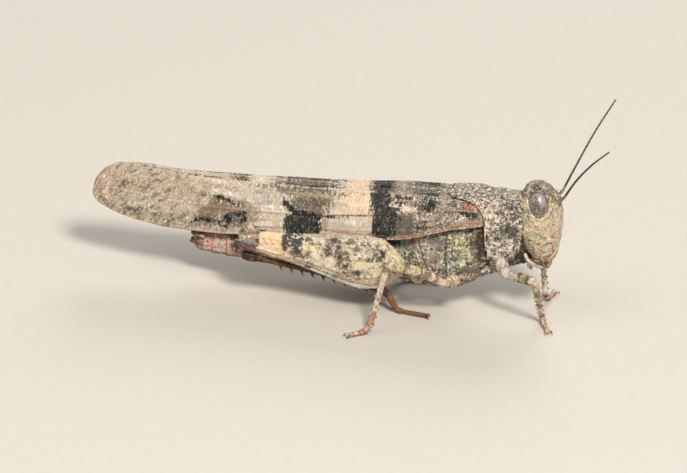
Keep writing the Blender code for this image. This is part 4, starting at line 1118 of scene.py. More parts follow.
trunk = {
    # place, half width, underside, top, level of the widest place
    "thorax": (
        (3, 2, 2.3, 6.9, 4.6), (4.6, 2.38, 1.9, 7.6, 4.6), (6.6, 2.62, 1.75, 8.1, 4.8),
        (8.8, 2.64, 1.85, 8.25, 4.9), (10.1, 2.48, 2.35, 8.5, 5.4), (10.8, 2.06, 2.75, 9, 6.1),
        (12.2, 1.95, 3.4, 9.3, 6.4), (13.2, 1.6, 3.95, 9.2, 6.6), (13.85, 1.32, 4.25, 8.3, 6.2),
        (14.3, 1.15, 4.35, 7.2, 5.8), (14.9, 0.8, 4.62, 6, 5.3),
    ),
    "abdomen": (
        (-12.3, 0.45, 2.85, 3.75, 3.3), (-12, 0.85, 2.45, 4.15, 3.3), (-11, 1.2, 2.25, 4.35, 3.3),
        (-8.5, 1.6, 2.1, 4.85, 3.4), (-5, 1.9, 1.95, 5.9, 3.6), (-1, 2.15, 1.95, 6.9, 4),
        (2.85, 1.9, 2.25, 6.7, 4.6),
    ),
    # rows, columns and the power of the outline
    "rounds": {"thorax": (220, 220, 2.7), "abdomen": (420, 150, 2.3)},
    # seams on the thorax's side: keys of (height, place), depth and half width
    "seams": (
        (((2, 8.55), (3.6, 8.25), (5.2, 8.05), (7.8, 7.95)), 0.17, 0.085),
        (((2, 9.4), (3.6, 9.05), (4.6, 9.2), (5.2, 10)), 0.1, 0.07),
        (((2, 7.2), (3.6, 6.8), (5.2, 6.05), (6.8, 5.6)), 0.13, 0.075),
        (((2, 11), (4.5, 10.75), (6.5, 10.6), (8.8, 10.5)), 0.12, 0.09),
        (((2, 4.6), (4, 4.3), (6.8, 4.1)), 0.08, 0.07),
    ),
    # where the abdomen's rings meet
    "rings": (2.1, 0.45, -1.25, -3, -4.75, -6.5, -8.15, -9.6, -10.75, -11.55),
    "thoraxMarks": {
        "violet": ((7.25, 6.4, 0.75, 0.42, 6), (9.65, 4.45, 0.38, 0.2), (7.55, 5.85, 0.3, 0.22),
                   (13, 5.2, 0.8, 0.8), (9.9, 7.35, 0.6, 0.16, 4), (8.6, 5.05, 0.3, 0.16)),
        "gold": ((5.95, 6.3, 0.42, 0.22, 20), (9.75, 5.65, 0.55, 0.7), (7.75, 6.85, 0.55, 0.2, 6),
                 (6.8, 5.6, 0.24, 0.26), (9, 6.6, 0.5, 0.4), (9.2, 4.5, 0.22, 0.25), (8.7, 5.9, 0.4, 0.4)),
        "teal": ((4.6, 5.65, 0.55, 0.42), (6.25, 5.7, 0.32, 0.24), (7.6, 4.6, 0.22, 0.5),
                 (8.6, 4.2, 0.4, 0.5)),
        "rust": ((5.4, 5.9, 0.22, 0.55, 18), (7.35, 4.7, 0.2, 0.45), (6, 5.3, 0.3, 0.14, -30)),
        "dull": ((6.75, 4.85, 0.55, 0.4), (11.6, 4.3, 1.2, 0.8, 20), (10.4, 4.9, 0.5, 0.5)),
        "shade": ((10.78, 6.3, 0.3, 1.6, 4), (8.05, 5.6, 0.07, 1.3, 3), (5, 5.2, 0.1, 0.7, 30),
                  (11.25, 4.9, 0.36, 0.9, 10), (3.9, 5.8, 0.5, 0.35), (6.6, 2.5, 2.2, 0.35),
                  (13.9, 6.4, 0.35, 1.6), (9, 2.3, 0.5, 0.3)),
        # painted shade fading from the shadow behind the lobe into grey-brown, and the lower plate's own
        # grey-brown
        "grave": ((10.35, 6.3, 0.42, 1.6, 4), (9.9, 4, 0.8, 0.35, 6)),
        # painted shade under the head, at the neck
        "slate": ((13.75, 4.95, 0.6, 0.75, 20), (14.3, 5, 0.6, 0.9)),
        "calm": ((13.75, 5, 0.65, 0.8, 20), (14.3, 5.5, 0.7, 1.6), (10.6, 6.3, 0.5, 1.6, 4),
                 (7.25, 6.3, 0.8, 0.5, 6), (4.6, 5.6, 0.6, 0.5), (5.45, 5.85, 0.32, 0.62, 18),
                 (6.9, 5.2, 0.45, 0.35), (7.35, 4.7, 0.28, 0.5), (9.9, 4.1, 0.7, 0.35)),
        "pink": ((8.75, 3.25, 0.5, 0.45, -20), (7.8, 3.3, 0.5, 0.4), (9.8, 3.3, 0.5, 0.4)),
    },
    "thoraxLook": {
        "cloud": 1.2, "calm": ("calm", 0.7), "ground": ("b0a68e", "9a907b"),
        "coats": {
            "dull": ("92867a", "a3968a", 0.16, 0.5, 0.75), "pink": ("d3b29b", "c2a08b", 0.1, 0.3, 0.85),
            "violet": ("6f6668", "7d7476", 0.1, 0.25, 0.85), "teal": ("9fa598", "b0b5a8", 0.1, 0.25, 0.85),
            "gold": ("c8c296", "bdb27e", 0.12, 0.35, 0.8), "rust": ("85604c", "967056", 0.06, 0.14, 0.88),
            # grey-brown that is partly painted shade behind the saddle's lobe
            "grave": ("75675a", "625548", 0.16, 0.25, 0.88),
            # painted shade: the dark under the head, and shadow behind the lobe and along the underside
            "slate": ("3f3c40", "4a474c", 0.1, 0.12, 0.95), "shade": ("3b2f27", "4d4036", 0.12, 0.2, 0.92),
        },
        "net": ((2.2, 0.085, "2c2823", 0.82), (4.2, 0.085, "35302a", 0.76)),
        "mottle": ((2.2, 0.57, "635c4d", 0.55), (4.4, 0.565, "28241e", 0.85), (3.4, 0.41, "e4dec8", 0.7),
                   (7.5, 0.59, "25211c", 0.45)),
        "dots": ((4, 0.34, 0.35, "262119", 0.8), (3.6, 0.32, 0.25, "e4dec8", 0.65)), "grain": (4.6, 0.05),
        "rough": 0.64, "shine": 0.16,
    },
    "abdomenMarks": {
        # painted shadow where the knee stands close in front of the abdomen
        "gap": ((-8.92, 4.05, 0.44, 1.1, 6),),
        "shade": ((-12.1, 3.1, 0.22, 0.9), (-6, 3, 2.6, 0.5), (-10.6, 2.45, 1.6, 0.16),
                  (-11.7, 4, 0.3, 0.2), (-11.55, 3.9, 0.3, 0.12)),
        "violet": ((-10.1, 3.3, 0.24, 1.2), (-9.4, 4.3, 1.6, 0.14, 6), (-4.2, 2.8, 0.3, 0.6),
                   (-3, 2.7, 0.25, 0.6)),
        "gold": ((-11.65, 3.9, 0.35, 0.35), (-7.4, 4.4, 1, 0.3, 6)),
        "pink": ((-10.9, 3.3, 0.6, 1), (-9.3, 3.1, 0.5, 1)),
    },
    "abdomenLook": {
        "cloud": 0.9, "ground": ("d8b9a7", "c39e8b"),
        "coats": {
            "pink": ("dcb39f", "cb9d8a", 0.15, 0.4, 0.75), "violet": ("aba299", "bdb3a6", 0.08, 0.25, 0.8),
            "gold": ("d0ab7d", "c39b6c", 0.1, 0.3, 0.8), "shade": ("5f4135", "6e4c3c", 0.1, 0.3, 0.8),
            # the gap coat is painted shadow between the knee and the abdomen
            "gap": ("3c2a22", "49352b", 0.08, 0.12, 0.9),
            "ringEdge": ("64483b", "75574a", 0.05, 0.06, 0.75), "hole": ("2e211b", "2e211b", 0.02, 0, 0.9),
        },
        "mottle": ((3, 0.55, "7d5a4a", 0.6), (2.6, 0.41, "d8bca6", 0.6), (6, 0.57, "4a342b", 0.55)),
        "dots": ((4.2, 0.3, 0.4, "4d362c", 0.7),), "grain": (7, 0.022), "rough": 0.52, "shine": 0.25,
    },
    "bellySeams": (4.3, 6.5, 8.7, 10.9),
    "valves": ((3.55, 0.16), (3.0, -0.1)),  # at the tail: height and rise
    "valve": ((-12.1, 0.28), (-12.4, 0.26), (-12.65, 0.22)),
    "tailPlate": ((-12.25, 0, 3.98), (0.42, 0.42, 0.14)),
    "tailHorn": ((-11.45, 1.2, 3.92), (-11.9, 1.22, 3.96), (-12.3, 1.1, 3.96)),
}


def bodyRings(part):
    # At each place a superellipse whose upper and lower halves have their own heights. Also gives the level
    # of the widest point.
    keys = trunk[part]
    rows, columns, bend = trunk["rounds"][part]
    places = np.linspace(keys[0][0], keys[-1][0], rows)
    half, under, top, widest = through(keys, places).T[:, :, None]
    angle = circle(columns)
    lift = power(np.sin(angle), 2 / bend)
    z = widest + lift * np.where(lift > 0, top - widest, widest - under)
    return pointsAt(places[:, None], half * power(np.cos(angle), 2 / bend), z), widest


def makeThorax():
    # Relief: slanting seams between the side plates, each with a raised lip, and plates below.
    rings, _ = bodyRings("thorax")
    x, out, z = rings[..., 0], np.abs(rings[..., 1]), rings[..., 2]
    side = rise(0.6, 1.2, out)
    under = rise(3.2, 2.6, z)
    lines = [(-0.06, out, 0.07, under), (0.05, z - 3.3, 0.12, rise(1.5, 2.0, out))]
    for keys, depth, half in trunk["seams"]:
        away = x - through(keys, z)
        lines += [(-depth, away, half, side), (depth * 0.6, away - half * 2.2, half * 1.6, side)]
    for at in trunk["bellySeams"]:
        lines.append((-0.08, x - at - 0.3 * rise(0, 1.5, out), 0.09, under))
    height = 0.05 * ripple(rings, 1.1, 41) + 0.02 * ripple(rings, 0.45, 42) + relief(*lines)
    addPiece("thoraxPlates", [loft(rings, height, marksAt(rings, trunk["thoraxMarks"]))],
             cuticle("thoraxShell", trunk["thoraxLook"]), "thorax")


def makeAbdomen():
    # Relief: each ring swells towards its rear edge and steps down to the next; a fold along each side
    # parts the back plates from the belly plates. The tip has a plate and two pairs of short valves.
    rings, widest = bodyRings("abdomen")
    x, out, z = rings[..., 0], np.abs(rings[..., 1]), rings[..., 2]
    edges = np.array(trunk["rings"])[::-1]
    index = np.clip(np.searchsorted(edges, x, side="right"), 1, len(edges) - 1)
    back, front = edges[index - 1], edges[index]
    swell = np.clip((front - x) / (front - back), 0, 1) ** 3
    height = 0.085 * swell + 0.012 * ripple(rings, 0.5, 51) + relief(
        (-0.05, x - front, 0.05, 1), (-0.06, z - widest + 0.35, 0.07, rise(0.5, 0.9, out)))
    marks = marksAt(rings, trunk["abdomenMarks"])
    marks["ringEdge"] = 0.07 - (x - back)
    marks["hole"] = 0.07 - np.hypot((x - (back + front) / 2), (z - widest - 0.15) * 0.8)
    shapes = [loft(rings, height, marks)]
    for side in sides.values():
        for low, climb in trunk["valves"]:
            path = [(at, aside, low + climb * share)
                    for share, (at, aside) in zip((0, 0.5, 1), trunk["valve"])]
            shapes.append(rod(mirrored(path, side), (0.24, 0.21, 0.09), 14, 14))
            shapes[-1]["marks"]["shade"] = np.full(len(shapes[-1]["points"]), 0.2)
    shapes.append(ballAt(*trunk["tailPlate"], 20, 30))
    skin = cuticle("abdomenShell", trunk["abdomenLook"])
    addPiece("abdomenRings", shapes, skin, "abdomen")
    for label, side in sides.items():
        horn = rod(mirrored(trunk["tailHorn"], side), (0.24, 0.20, 0.12, 0.03), 24, 16)
        horn["marks"]["shade"] = np.full(len(horn["points"]), 0.03)
        addPiece("tailHornSide", [horn], skin, "cercus_side", label)


# hindwings, folded to narrow fans

fan = {
    "keys": ((-14.6, 7.3, 5.7), (-13.6, 7.75, 5.45), (-11, 8, 5.3), (-4, 8.2, 6.75), (2, 8.5, 7.65)),
    "out": (0.14, 0.42),
    "pleats": 7,
    "rows": 200,
    "columns": 113,
    "look": {
        "cloud": 1, "ground": ("cfc79a", "d8d2b2"),
        "coats": {"smoke": ("5c5348", "6b6255", 0.3, 0.5, 0.85)}, "mottle": ((2, 0.6, "b7ad83", 0.4),),
        "dots": (), "grain": (6, 0.01), "rough": 0.4,
    },
    "marks": {"smoke": ((-7.5, 7, 1.6, 2.5), (-14, 6.6, 0.9, 0.8))},
    "thick": 0.035,
}


def makeFan(label, finish):
    # A leaf whose distance out zigzags with height, as the folded pleats do.
    side = sides[label]
    places = np.linspace(fan["keys"][0][0], fan["keys"][-1][0], fan["rows"])
    top, low = through(fan["keys"], places).T[:, :, None]
    down = np.linspace(0, 1, fan["columns"])[None, :]
    zigzag = np.abs(((down * fan["pleats"]) % 1) * 2 - 1)
    inner, outer = fan["out"]
    grid = pointsAt(places[:, None], side * (inner + (outer - inner) * zigzag), top - (top - low) * down)
    shape = leaf(grid, fan["thick"], 0, marksAt(grid, fan["marks"]), (0, -side * 5, 6))
    addPiece("hindwingSide", [shape], finish, "hindwing_side", label)


makeSaddle()
makeThorax()
makeAbdomen()
fanFinish = cuticle("hindwingSkin", fan["look"])
for label in sides:
    makeFan(label, fanFinish)
print("saddle, trunk and hindwings are made")


# legs

legs = {
    "front": {
        "coxa": ((12.38, 2.02, 5.1), (13.1, 2.5, 4.02)), "knee": (15.4, 3.78, 4.3),
        "ankle": (16.22, 2, 0.55), "toe": (16.85, 3.85, 0.2), "bow": 0.1,
        "bands": {
            "coxa": {"grey": ((0.5, 0.6),)},
            "femur": {"moss": ((0.66, 0.14),), "dark": ((0.5, 0.04), (0.8, 0.05)), "grey": ((0.2, 0.18),)},
            "tibia": {
                "band": ((0.3, 0.08), (0.62, 0.07)), "dark": ((0.97, 0.06),), "olive": ((0.1, 0.08),),
            },
        },
    },
    "middle": {
        "coxa": ((8.95, 2.5, 3.12), (8.3, 3.12, 2.98)), "knee": (3.7, 5.7, 5.18),
        "ankle": (2.84, 7.72, 0.55), "toe": (1.3, 8.95, 0.2), "bow": 0.28,
        "bands": {
            "coxa": {"pink": ((0.12, 0.2),), "band": ((0.78, 0.07), (0.5, 0.05), (0.25, 0.03))},
            "femur": {
                "band": ((0.7, 0.05), (0.36, 0.06), (0.2, 0.03)), "dark": ((0.46, 0.015),),
                "pink": ((0.12, 0.2),), "olive": ((0.86, 0.2), (0.56, 0.08)),
            },
            "tibia": {
                "band": ((0.08, 0.06),), "pink": ((0.42, 0.26),), "joint": ((0.88, 0.14),),
                "dark": ((0.99, 0.015),),
            },
        },
    },
    "hind": {
        "coxa": ((6.35, 2.7, 3.05), (5.45, 3.1, 3.5)), "start": (-8.05, 4.12, 3.98),
        "ankle": (3.55, 3.05, 1.75), "toe": (6.95, 3.55, 0.2), "bands": {"band": ((0.5, 0.1),)},
    },
    # of each segment: share of the path, half thickness across, half depth
    "sections": {
        "coxa": ((0, 0.4, 0.44), (0.35, 0.5, 0.54), (0.75, 0.44, 0.46), (0.92, 0.34, 0.36), (1, 0.3, 0.32)),
        "femur": (
            (0, 0.27, 0.29), (0.05, 0.31, 0.33), (0.1, 0.3, 0.32), (0.2, 0.35, 0.4), (0.5, 0.36, 0.42),
            (0.82, 0.34, 0.4), (0.93, 0.38, 0.44), (0.99, 0.32, 0.36), (1, 0.22, 0.24),
        ),
        "tibia": ((0, 0.2, 0.22), (0.03, 0.27, 0.3), (0.1, 0.27, 0.3), (0.3, 0.22, 0.25), (0.88, 0.2, 0.22),
                  (0.97, 0.26, 0.28), (1, 0.2, 0.2)),
    },
    # rows and columns of each segment's mesh
    "sizes": {"coxa": (60, 44), "femur": (110, 44), "tibia": (110, 36)},
    # what each CAD part's piece is called
    "pieces": {"coxa": "HipSide", "femur": "SideThigh", "tibia": "SideShin", "tarsus": "SideFoot"},
    "spine": (0.075, 0.055, 0.01),
    "pads": (0.13, 0.24, 0.34, 0.48),
    # root, bend and tip from the toe: ahead, out, up
    "claw": ((-0.05, 0.08, 0.03), (0.22, 0.24, 0.04), (0.34, 0.3, -0.17)),
    "footSections": (
        (0, 0.2, 0.2), (0.05, 0.25, 0.25), (0.16, 0.27, 0.26), (0.34, 0.24, 0.24), (0.38, 0.18, 0.18),
        (0.42, 0.23, 0.22), (0.52, 0.24, 0.23), (0.56, 0.17, 0.17), (0.62, 0.18, 0.17), (0.9, 0.19, 0.19),
        (0.98, 0.2, 0.19), (1, 0.12, 0.12),
    ),
    "look": {
        "cloud": 1.4, "calm": ("pink", 0.15), "ground": ("d2bfa3", "c3ac8c"),
        "coats": {
            "grey": ("b5aaa0", "c6bcb2", 0.15, 0.4, 0.85), "pink": ("d9c0aa", "c6a893", 0.12, 0.6, 0.75),
            "olive": ("d2bf8a", "bda66a", 0.12, 0.4, 0.8), "moss": ("a99d4c", "82773a", 0.1, 0.3, 0.85),
            "band": ("7a685d", "67564b", 0.12, 0.35, 0.8), "joint": ("b98468", "a87055", 0.1, 0.2, 0.8),
            "dark": ("3f362f", "322b25", 0.08, 0.2, 0.85),
        },
        "mottle": ((2.8, 0.55, "7d6857", 0.7), (2.6, 0.41, "e6d7c4", 0.6), (5.5, 0.57, "3a3028", 0.72)),
        "dots": ((4, 0.32, 0.4, "4d4035", 0.75), (6.5, 0.34, 0.35, "3f342b", 0.6)), "grain": (7, 0.024),
        "rough": 0.55, "shine": 0.25,
    },
    # on the shin: first and last share and number; length, distance out, slope towards the foot
    "spineRows": (((0.34, 0.92, 7), (0.24, 0.2, 0.9)), ((0.38, 0.92, 6), (0.24, 0.2, 0.9)),
                  ((0.42, 0.92, 5), (0.22, 0.2, 0.9))),
}


def limbShape(path, sections, size, marks):
    # A limb segment with low keels along its four edges and a fine unevenness. A mark is rings round it:
    # (share of the path, half width as a share).
    rings, share, angle = limbRings(path, sections, *size)
    height = 0.012 * np.cos(4 * angle + np.pi) * np.sin(np.pi * np.clip(share * 1.02, 0, 1)) ** 0.5
    length = np.linalg.norm(np.diff(np.asarray(path, float), axis=0), axis=1).sum()
    kept = {}
    for name, bands in marks.items():
        depths = [(half - np.abs(share - at)) * length for at, half in bands]
        kept[name] = np.maximum(-1.0, np.max(depths, axis=0))
    return loft(rings, height + 0.010 * ripple(rings, 0.5, 61), kept)


def spinesAlong(start, end, shares, lean, length, radius, slope):
    # Short curved spines: each leaves the segment's line at its share, leans by a direction and slopes
    # towards the foot.
    heading = (end - start) / np.linalg.norm(end - start)
    lean = lean - heading * np.dot(lean, heading)
    lean /= np.linalg.norm(lean)
    made = []
    for share in shares:
        foot = start + (end - start) * share + lean * radius * 0.6
        tip = foot + lean * length + heading * length * slope
        spine = rod((foot, foot * 0.5 + tip * 0.5 + lean * length * 0.10, tip), legs["spine"], 6, 6)
        spine["marks"]["dark"] = (np.linalg.norm(spine["points"] - foot, axis=1) - length * 0.55) * 0.5
        made.append(spine)
    return made


def footShapes(leg, side):
    # A foot of three joints along the floor, its underside flat at the floor, with two claws and a pad.
    ankle, toe = np.array(leg["ankle"], float), np.array(leg["toe"], float)
    heading = (toe - ankle) * (1, 1, 0)
    heading /= np.linalg.norm(heading)
    across = np.cross((0, 0, 1.0), heading)
    start = ankle + heading * 0.12 - (0, 0, 0.02)
    middle = start * 0.62 + toe * 0.38
    middle[2] = 0.24
    rings, share, angle = limbRings(mirrored((start, middle, toe), side), legs["footSections"], 110, 26)
    pads = sum(hump(share - at, 0.05) for at in legs["pads"])
    height = -0.02 * hump(np.abs(np.sin(angle)), 0.3) + 0.03 * pads * (np.sin(angle) < -0.2)
    foot = loft(rings, height, {"joint": 0.20 - np.abs(share - 0.37) * 0.3, "dark": -0.3})
    foot["points"][:, 2] = np.maximum(foot["points"][:, 2], 0.0)
    made = [foot, ballAt(mirrored(toe + heading * 0.06 - (0, 0, 0.06), side), (0.16, 0.16, 0.10), 16, 20)]
    for way in (-1, 1):
        path = mirrored([toe + heading * ahead + across * way * out + (0, 0, up)
                         for ahead, out, up in legs["claw"]], side)
        claw = rod(path, (0.09, 0.07, 0.015), 14, 10)
        claw["points"][:, 2] = np.maximum(claw["points"][:, 2], 0.004)
        claw["marks"]["dark"] = np.linalg.norm(claw["points"] - path[0], axis=1) - 0.22
        made.append(claw)
    return made


def makeWalkingLeg(kind, label, finish):
    # Hip, thigh, shin and foot, each round its own line; three rows of spines on the shin.
    side = sides[label]
    leg = legs[kind]
    hip, trochanter = mirrored(leg["coxa"], side)
    knee, ankle = mirrored((leg["knee"], leg["ankle"]), side)
    paths = {
        "coxa": (hip + (hip - trochanter) * 0.25, hip * 0.5 + trochanter * 0.5,
                 trochanter + (trochanter - hip) * 0.06),
        "femur": (trochanter, trochanter * 0.5 + knee * 0.5 + np.array((0, 0, leg["bow"])), knee),
        "tibia": (knee, knee * 0.5 + ankle * 0.5, ankle),
    }
    shapes = {part: [limbShape(path, legs["sections"][part], legs["sizes"][part], leg["bands"][part])]
              for part, path in paths.items()}
    outer = np.array((0.2, side, 0.25))
    square = np.cross(ankle - knee, outer)
    leans = (outer, square + outer * 0.2, outer * 0.2 - square)
    for lean, (shares, size) in zip(leans, legs["spineRows"]):
        shapes["tibia"] += spinesAlong(knee, ankle, np.linspace(*shares), lean, *size)
    shapes["tarsus"] = footShapes(leg, side)
    for part, name in legs["pieces"].items():
        addPiece(kind + name, shapes[part], finish, f"{kind}_{part}_side", label)


thigh = {
    # place, lower edge, upper edge, half thickness, middle's distance out
    "keys": (
        (-8.5, 4.85, 6, 0.38, 4.2), (-8.2, 4.52, 6.42, 0.58, 4.2), (-7.6, 4.4, 6.6, 0.66, 4.2),
        (-6.8, 4.42, 6.16, 0.52, 4.18), (-5.6, 4.12, 6.2, 0.6, 4.15), (-3.8, 3.74, 6.3, 0.76, 4.1),
        (-2, 3.22, 6.44, 0.92, 4.02), (0, 2.6, 6.62, 1.02, 3.94), (1.6, 2.2, 6.66, 1.04, 3.86),
        (3.05, 2.38, 6.5, 0.97, 3.81), (3.6, 2.66, 6.12, 0.88, 3.78), (4.2, 3.02, 5.6, 0.74, 3.76),
        (4.6, 3.42, 5.24, 0.58, 3.75), (4.85, 3.85, 4.95, 0.42, 3.74),
    ),
    "inner": 0.92,
    "flange": 0.3,
    "rows": 260,
    "columns": 150,
    "marks": {
        "dark": (
            (-4.2, 6.08, 0.8, 0.34), (-0.95, 6.28, 0.5, 0.14), (-4.3, 5.72, 0.72, 0.58),
            (-4.6, 5.28, 0.3, 0.26, 14), (-3.75, 5.25, 0.45, 0.26, -20), (-3.35, 6.08, 0.35, 0.12),
            (-1.05, 6.02, 0.3, 0.14), (-0.4, 5.9, 0.25, 0.13), (-1.2, 5.4, 0.2, 0.3, 20),
            (0.3, 6.22, 0.22, 0.1), (0.95, 6.18, 0.2, 0.09), (3.05, 5.62, 0.25, 0.32, -10),
            (4.03, 4.88, 0.13, 0.11), (2.3, 5.1, 0.14, 0.1), (2.85, 5.2, 0.18, 0.11),
            (0.3, 4.42, 0.22, 0.18), (0.25, 3.75, 0.16, 0.14), (-2.75, 3.78, 0.22, 0.2),
            (-0.1, 5.05, 0.25, 0.12), (-2.5, 5.85, 0.12, 0.1), (1.25, 3.88, 0.2, 0.14),
            (-3.3, 4.72, 0.2, 0.14), (-1.9, 5.95, 0.14, 0.1), (1.6, 5.5, 0.12, 0.08),
            (1.9, 6.18, 0.2, 0.08), (-8.42, 5.35, 0.1, 0.4), (-6.95, 5.75, 0.12, 0.35, 14),
            (-7.5, 4.58, 0.3, 0.1), (-8.05, 6.35, 0.22, 0.09, 20), (3.95, 4.3, 0.18, 0.16),
        ),
        "mottled": (
            (-4.2, 5.65, 0.95, 0.85), (-1.9, 6.25, 0.3, 0.14), (-2.9, 6.18, 0.36, 0.14),
            (0.6, 6.38, 0.45, 0.18), (1.7, 6.32, 0.35, 0.2), (2.5, 6.1, 0.36, 0.2, -10),
            (3.3, 5.8, 0.28, 0.2, -20), (-0.7, 6.32, 0.6, 0.22), (-3.6, 6.2, 0.5, 0.2),
            (-0.05, 5.28, 0.62, 0.58), (0.1, 4.45, 0.5, 0.38, -20), (-3.9, 4.92, 0.7, 0.34, -10),
            (-1.15, 5.5, 0.26, 0.6, 20), (2.9, 5.4, 0.52, 0.48), (-2.8, 4.95, 0.16, 0.25, -30),
            (1.1, 5.8, 0.4, 0.2), (0.45, 3.62, 0.3, 0.2), (1.2, 3.8, 0.5, 0.22),
            (-2.6, 4.22, 0.5, 0.12, -14), (3.45, 4.7, 0.28, 0.28), (-7.5, 4.52, 0.5, 0.14),
            (2.1, 5.06, 0.3, 0.15), (-5, 4.05, 0.5, 0.1, -10), (-7.3, 6.2, 0.5, 0.14, -10),
            (-8, 6.22, 0.4, 0.3), (-7.5, 5.33, 0.84, 0.52, 8),
        ),
        "lunule": ((-7.5, 5.36, 0.62, 0.34, 8), (-0.45, 3.2, 0.12, 0.35), (-0.45, 3.2, 0.3, 0.18)),
        "gold": ((-3, 5.72, 0.28, 0.3), (-2.35, 5.32, 0.28, 0.52, 25), (-1.95, 4.78, 0.28, 0.38, 25),
                 (-2.7, 4.5, 0.25, 0.18), (1.5, 4.5, 0.62, 0.38, 10), (2.7, 4.72, 0.38, 0.24),
                 (-1.52, 5.68, 0.12, 0.24, 20), (0.9, 5.12, 0.28, 0.18), (3.95, 5, 0.5, 0.5, -40),
                 (-3.15, 5.3, 0.24, 0.14), (2.8, 3.9, 0.4, 0.38)),
        "ring": ((-5.8, 5.35, 1.02, 1.1, 4), (-4.9, 4.7, 0.7, 0.35, -10)),
        "cream": ((-5.9, 4.88, 0.75, 0.3), (-1.02, 4.52, 0.42, 0.45, 24), (1.5, 5.42, 0.5, 0.24),
                  (-1.6, 3.78, 0.8, 0.16, -16), (-1.7, 6.22, 0.5, 0.12)),
        "pink": ((1, 3.32, 0.6, 0.24), (2.6, 3.1, 0.5, 0.35), (3.5, 6.1, 0.4, 0.16, -46),
                 (-7.5, 6.1, 0.28, 0.12)),
        "white": ((-2, 3.42, 1.4, 0.19, -17), (-0.3, 2.92, 1.2, 0.24, -17), (1.4, 2.5, 1.2, 0.27, -6),
                  (2.8, 2.46, 0.8, 0.24, 2)),
        "line": ((-2, 3.7, 1.3, 0.045, -17), (-0.2, 3.18, 1.2, 0.045, -17), (1.5, 2.84, 1.2, 0.04, -6),
                 (-5, 4.05, 1.6, 0.04, -13)),
        "knee": ((-7.72, 5.4, 0.9, 1.3),),
        "lobe": ((-7.85, 4.78, 0.9, 0.46, -6), (-8.42, 5.1, 0.2, 0.6)),
        "base": ((4.15, 4.5, 0.5, 1.5, 14),),
        "calm": ((-5.8, 5.3, 1, 1.1, 4), (-7.85, 4.7, 0.8, 0.36, -6), (-7.5, 5.36, 0.5, 0.26, 8),
                 (-2.15, 5.05, 0.32, 0.75, 25), (1.5, 4.5, 0.55, 0.35, 10), (-1.05, 4.5, 0.38, 0.42, 24),
                 (1.4, 2.46, 1.3, 0.28, -6), (-0.3, 2.86, 1.2, 0.26, -17), (-2, 3.38, 1.4, 0.2, -17)),
    },
    "look": {
        "cloud": 1.4, "ground": ("cdbca2", "c0ad92"),
        "coats": {
            "knee": ("dcbba5", "c8a48f", 0.15, 0.3, 0.9), "base": ("e0c89c", "d1b585", 0.15, 0.4, 0.8),
            "pink": ("d9b9a3", "cdaa94", 0.12, 0.3, 0.8), "gold": ("e6dab6", "dccda2", 0.1, 0.25, 0.92),
            "mottled": ("62564b", "74665a", 0.1, 0.35, 0.88),
            "ring": ("eccfa6", "e7c297", 0.1, 0.16, 0.95), "cream": ("e9dcc4", "e4d3b8", 0.12, 0.3, 0.85),
            "white": ("faf5ec", "f3ebdf", 0.06, 0.14, 0.95),
            "lunule": ("a29b96", "8c8582", 0.06, 0.16, 0.88),
            "dark": ("3a3a38", "484640", 0.07, 0.35, 0.9), "line": ("453639", "54454a", 0.03, 0.05, 0.85),
            "lobe": ("6b4a39", "4c3327", 0.08, 0.14, 0.85),
        },
        "mottle": ((2.8, 0.57, "7f6e58", 0.6), (4.4, 0.57, "39312a", 0.75), (3, 0.4, "ece0c8", 0.6),
                   (8.5, 0.59, "2f2821", 0.5)),
        "dots": ((3.6, 0.3, 0.35, "3d342a", 0.85), (6.5, 0.34, 0.3, "352d24", 0.7)), "calm": ("calm", 0.8),
        "grain": (6, 0.034), "rough": 0.56, "shine": 0.24,
    },
    "widest": 0.6,  # level of the widest line, as a share of the height
    "crowding": 0.055,  # of the rows, to both ends
}


def makeThigh(label, finish):
    # Rings across the jumping thigh: full outside, drawn in below on the inside. Relief: two keels that
    # bound the outer face, herringbone ridges between them, a groove that parts the knee's lobes and a rim
    # along the lower flange.
    side = sides[label]
    climb = np.linspace(0, 1, thigh["rows"])
    start, end = thigh["keys"][0][0], thigh["keys"][-1][0]
    places = start + (end - start) * (climb - thigh["crowding"] * np.sin(2 * np.pi * climb))
    low, high, thick, middle = through(thigh["keys"], places).T[:, :, None]
    angle = circle(thigh["columns"])
    across, upward = np.cos(angle), np.sin(angle)
    level = low + (high - low) * thigh["widest"]
    z = level + upward * np.where(upward > 0, high - level, level - low)
    tuck = np.clip((level - z) / (level - low) * 1.6, 0, 1)
    inner = thigh["inner"] * (1 - tuck) - thigh["flange"] * tuck
    out = middle + thick * np.where(across > 0, power(across, 0.72), across * inner)
    rings = pointsAt(places[:, None], side * out, z)
    x = rings[..., 0]
    outer = rise(0.05, 0.25, across)
    share = np.where(z > level, (z - level) / (high - level), (z - level) / (level - low))
    body = rise(-6.9, -6.3, x) * rise(4.6, 3.9, x)
    face = outer * body
    bone = np.cos(2 * np.pi * (x / 0.60 + np.abs(share) * 0.95))
    between = rise(0.56, 0.46, share) * rise(-0.49, -0.40, share) * face
    knee = rise(-6.6, -7.1, x)
    height = 0.034 * bone * between + 0.012 * ripple(rings, 0.5, 71) + relief(
        (0.075, share - 0.60, 0.055, face),
        (0.075, share + 0.52, 0.050, face),
        (-0.03, share, 0.05, between),
        (0.05, upward - 1, 0.012, body),
        (0.05, upward + 1, 0.012, body),
        (-0.07, z - 5.15 + (x + 7.6) * 0.1, 0.07, knee * (np.abs(across) > 0.2)),
        (-0.05, np.hypot(x + 7.65, (z - 5.5) * 1.1) - 0.55, 0.06, knee * outer),
    )
    addPiece("jumpThighSide", [loft(rings, height, marksAt(rings, thigh["marks"]))], finish,
             "hind_femur_side", label)


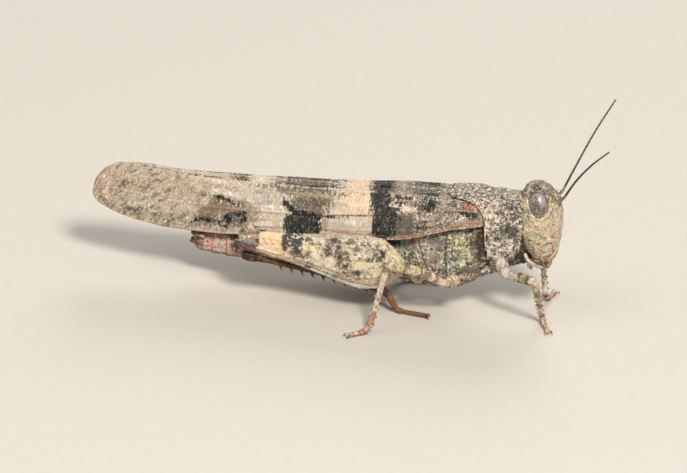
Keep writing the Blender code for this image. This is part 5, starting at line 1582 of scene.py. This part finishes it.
shin = {
    "sections": (
        (0, 0.3, 0.3), (0.02, 0.38, 0.38), (0.06, 0.4, 0.4), (0.1, 0.31, 0.32), (0.16, 0.23, 0.25),
        (0.5, 0.21, 0.22), (0.8, 0.22, 0.24), (0.93, 0.29, 0.3), (0.98, 0.33, 0.33), (1, 0.24, 0.24),
    ),
    "look": {
        "cloud": 1, "ground": ("5f442c", "433021"),
        "coats": {
            "olive": ("685434", "4d3f29", 0.15, 0.4, 0.75), "dark": ("35261d", "291d17", 0.06, 0.1, 0.9),
            "joint": ("8d664a", "79553d", 0.1, 0.2, 0.75),
        },
        "mottle": ((2.8, 0.57, "3c261b", 0.6), (2.6, 0.4, "8e6046", 0.5)),
        "dots": ((4.5, 0.3, 0.35, "2d1b13", 0.6),), "grain": (8, 0.016), "rough": 0.5, "shine": 0.2,
    },
    "bow": 0.12,
    "bands": {"olive": ((0.5, 0.22),), "dark": ((0.05, 0.05),)},
    # first and last share and number; length, distance out, slope towards the foot
    "spines": ((0.26, 0.93, 10), (0.36, 0.2, 1)),
    "spurs": ((0.975, 0.975, 1), (0.42, 0.24, 1.5)),
}


def makeHindLeg(label, thighFinish, finish, skin):
    # Hip, thigh, a bowed shin with two rows of spines and four spurs, and foot.
    side = sides[label]
    leg = legs["hind"]
    hip, trochanter = mirrored(leg["coxa"], side)
    shape = limbShape((hip, hip * 0.5 + trochanter * 0.5, trochanter), legs["sections"]["coxa"],
                      legs["sizes"]["coxa"], leg["bands"])
    addPiece("hindHipSide", [shape], skin, "hind_coxa_side", label)
    makeThigh(label, thighFinish)
    start, ankle = mirrored((leg["start"], leg["ankle"]), side)
    shapes = [limbShape((start, start * 0.5 + ankle * 0.5 + (0, 0, shin["bow"]), ankle), shin["sections"],
                        (240, 44), shin["bands"])]
    for kind, (ahead, out, up) in (("spines", (0, 0.75, -0.9)), ("spurs", (0.3, 0.9, -0.3)),
                                   ("spurs", (0.4, 0.5, -0.9))):
        shares, size = shin[kind]
        for way in (side, -side):
            shapes += spinesAlong(start, ankle, np.linspace(*shares), (ahead, way * out, up), *size)
    addPiece("hindShinSide", shapes, finish, "hind_tibia_side", label)
    addPiece("hindFootSide", footShapes(leg, side), finish, "hind_tarsus_side", label)


legSkin = cuticle("legSkin", legs["look"])
thighSkin = cuticle("thighShell", thigh["look"])
shinSkin = cuticle("shinHorn", shin["look"])
for label in sides:
    makeWalkingLeg("front", label, legSkin)
    makeWalkingLeg("middle", label, legSkin)
    makeHindLeg(label, thighSkin, shinSkin, legSkin)
print("legs are made")
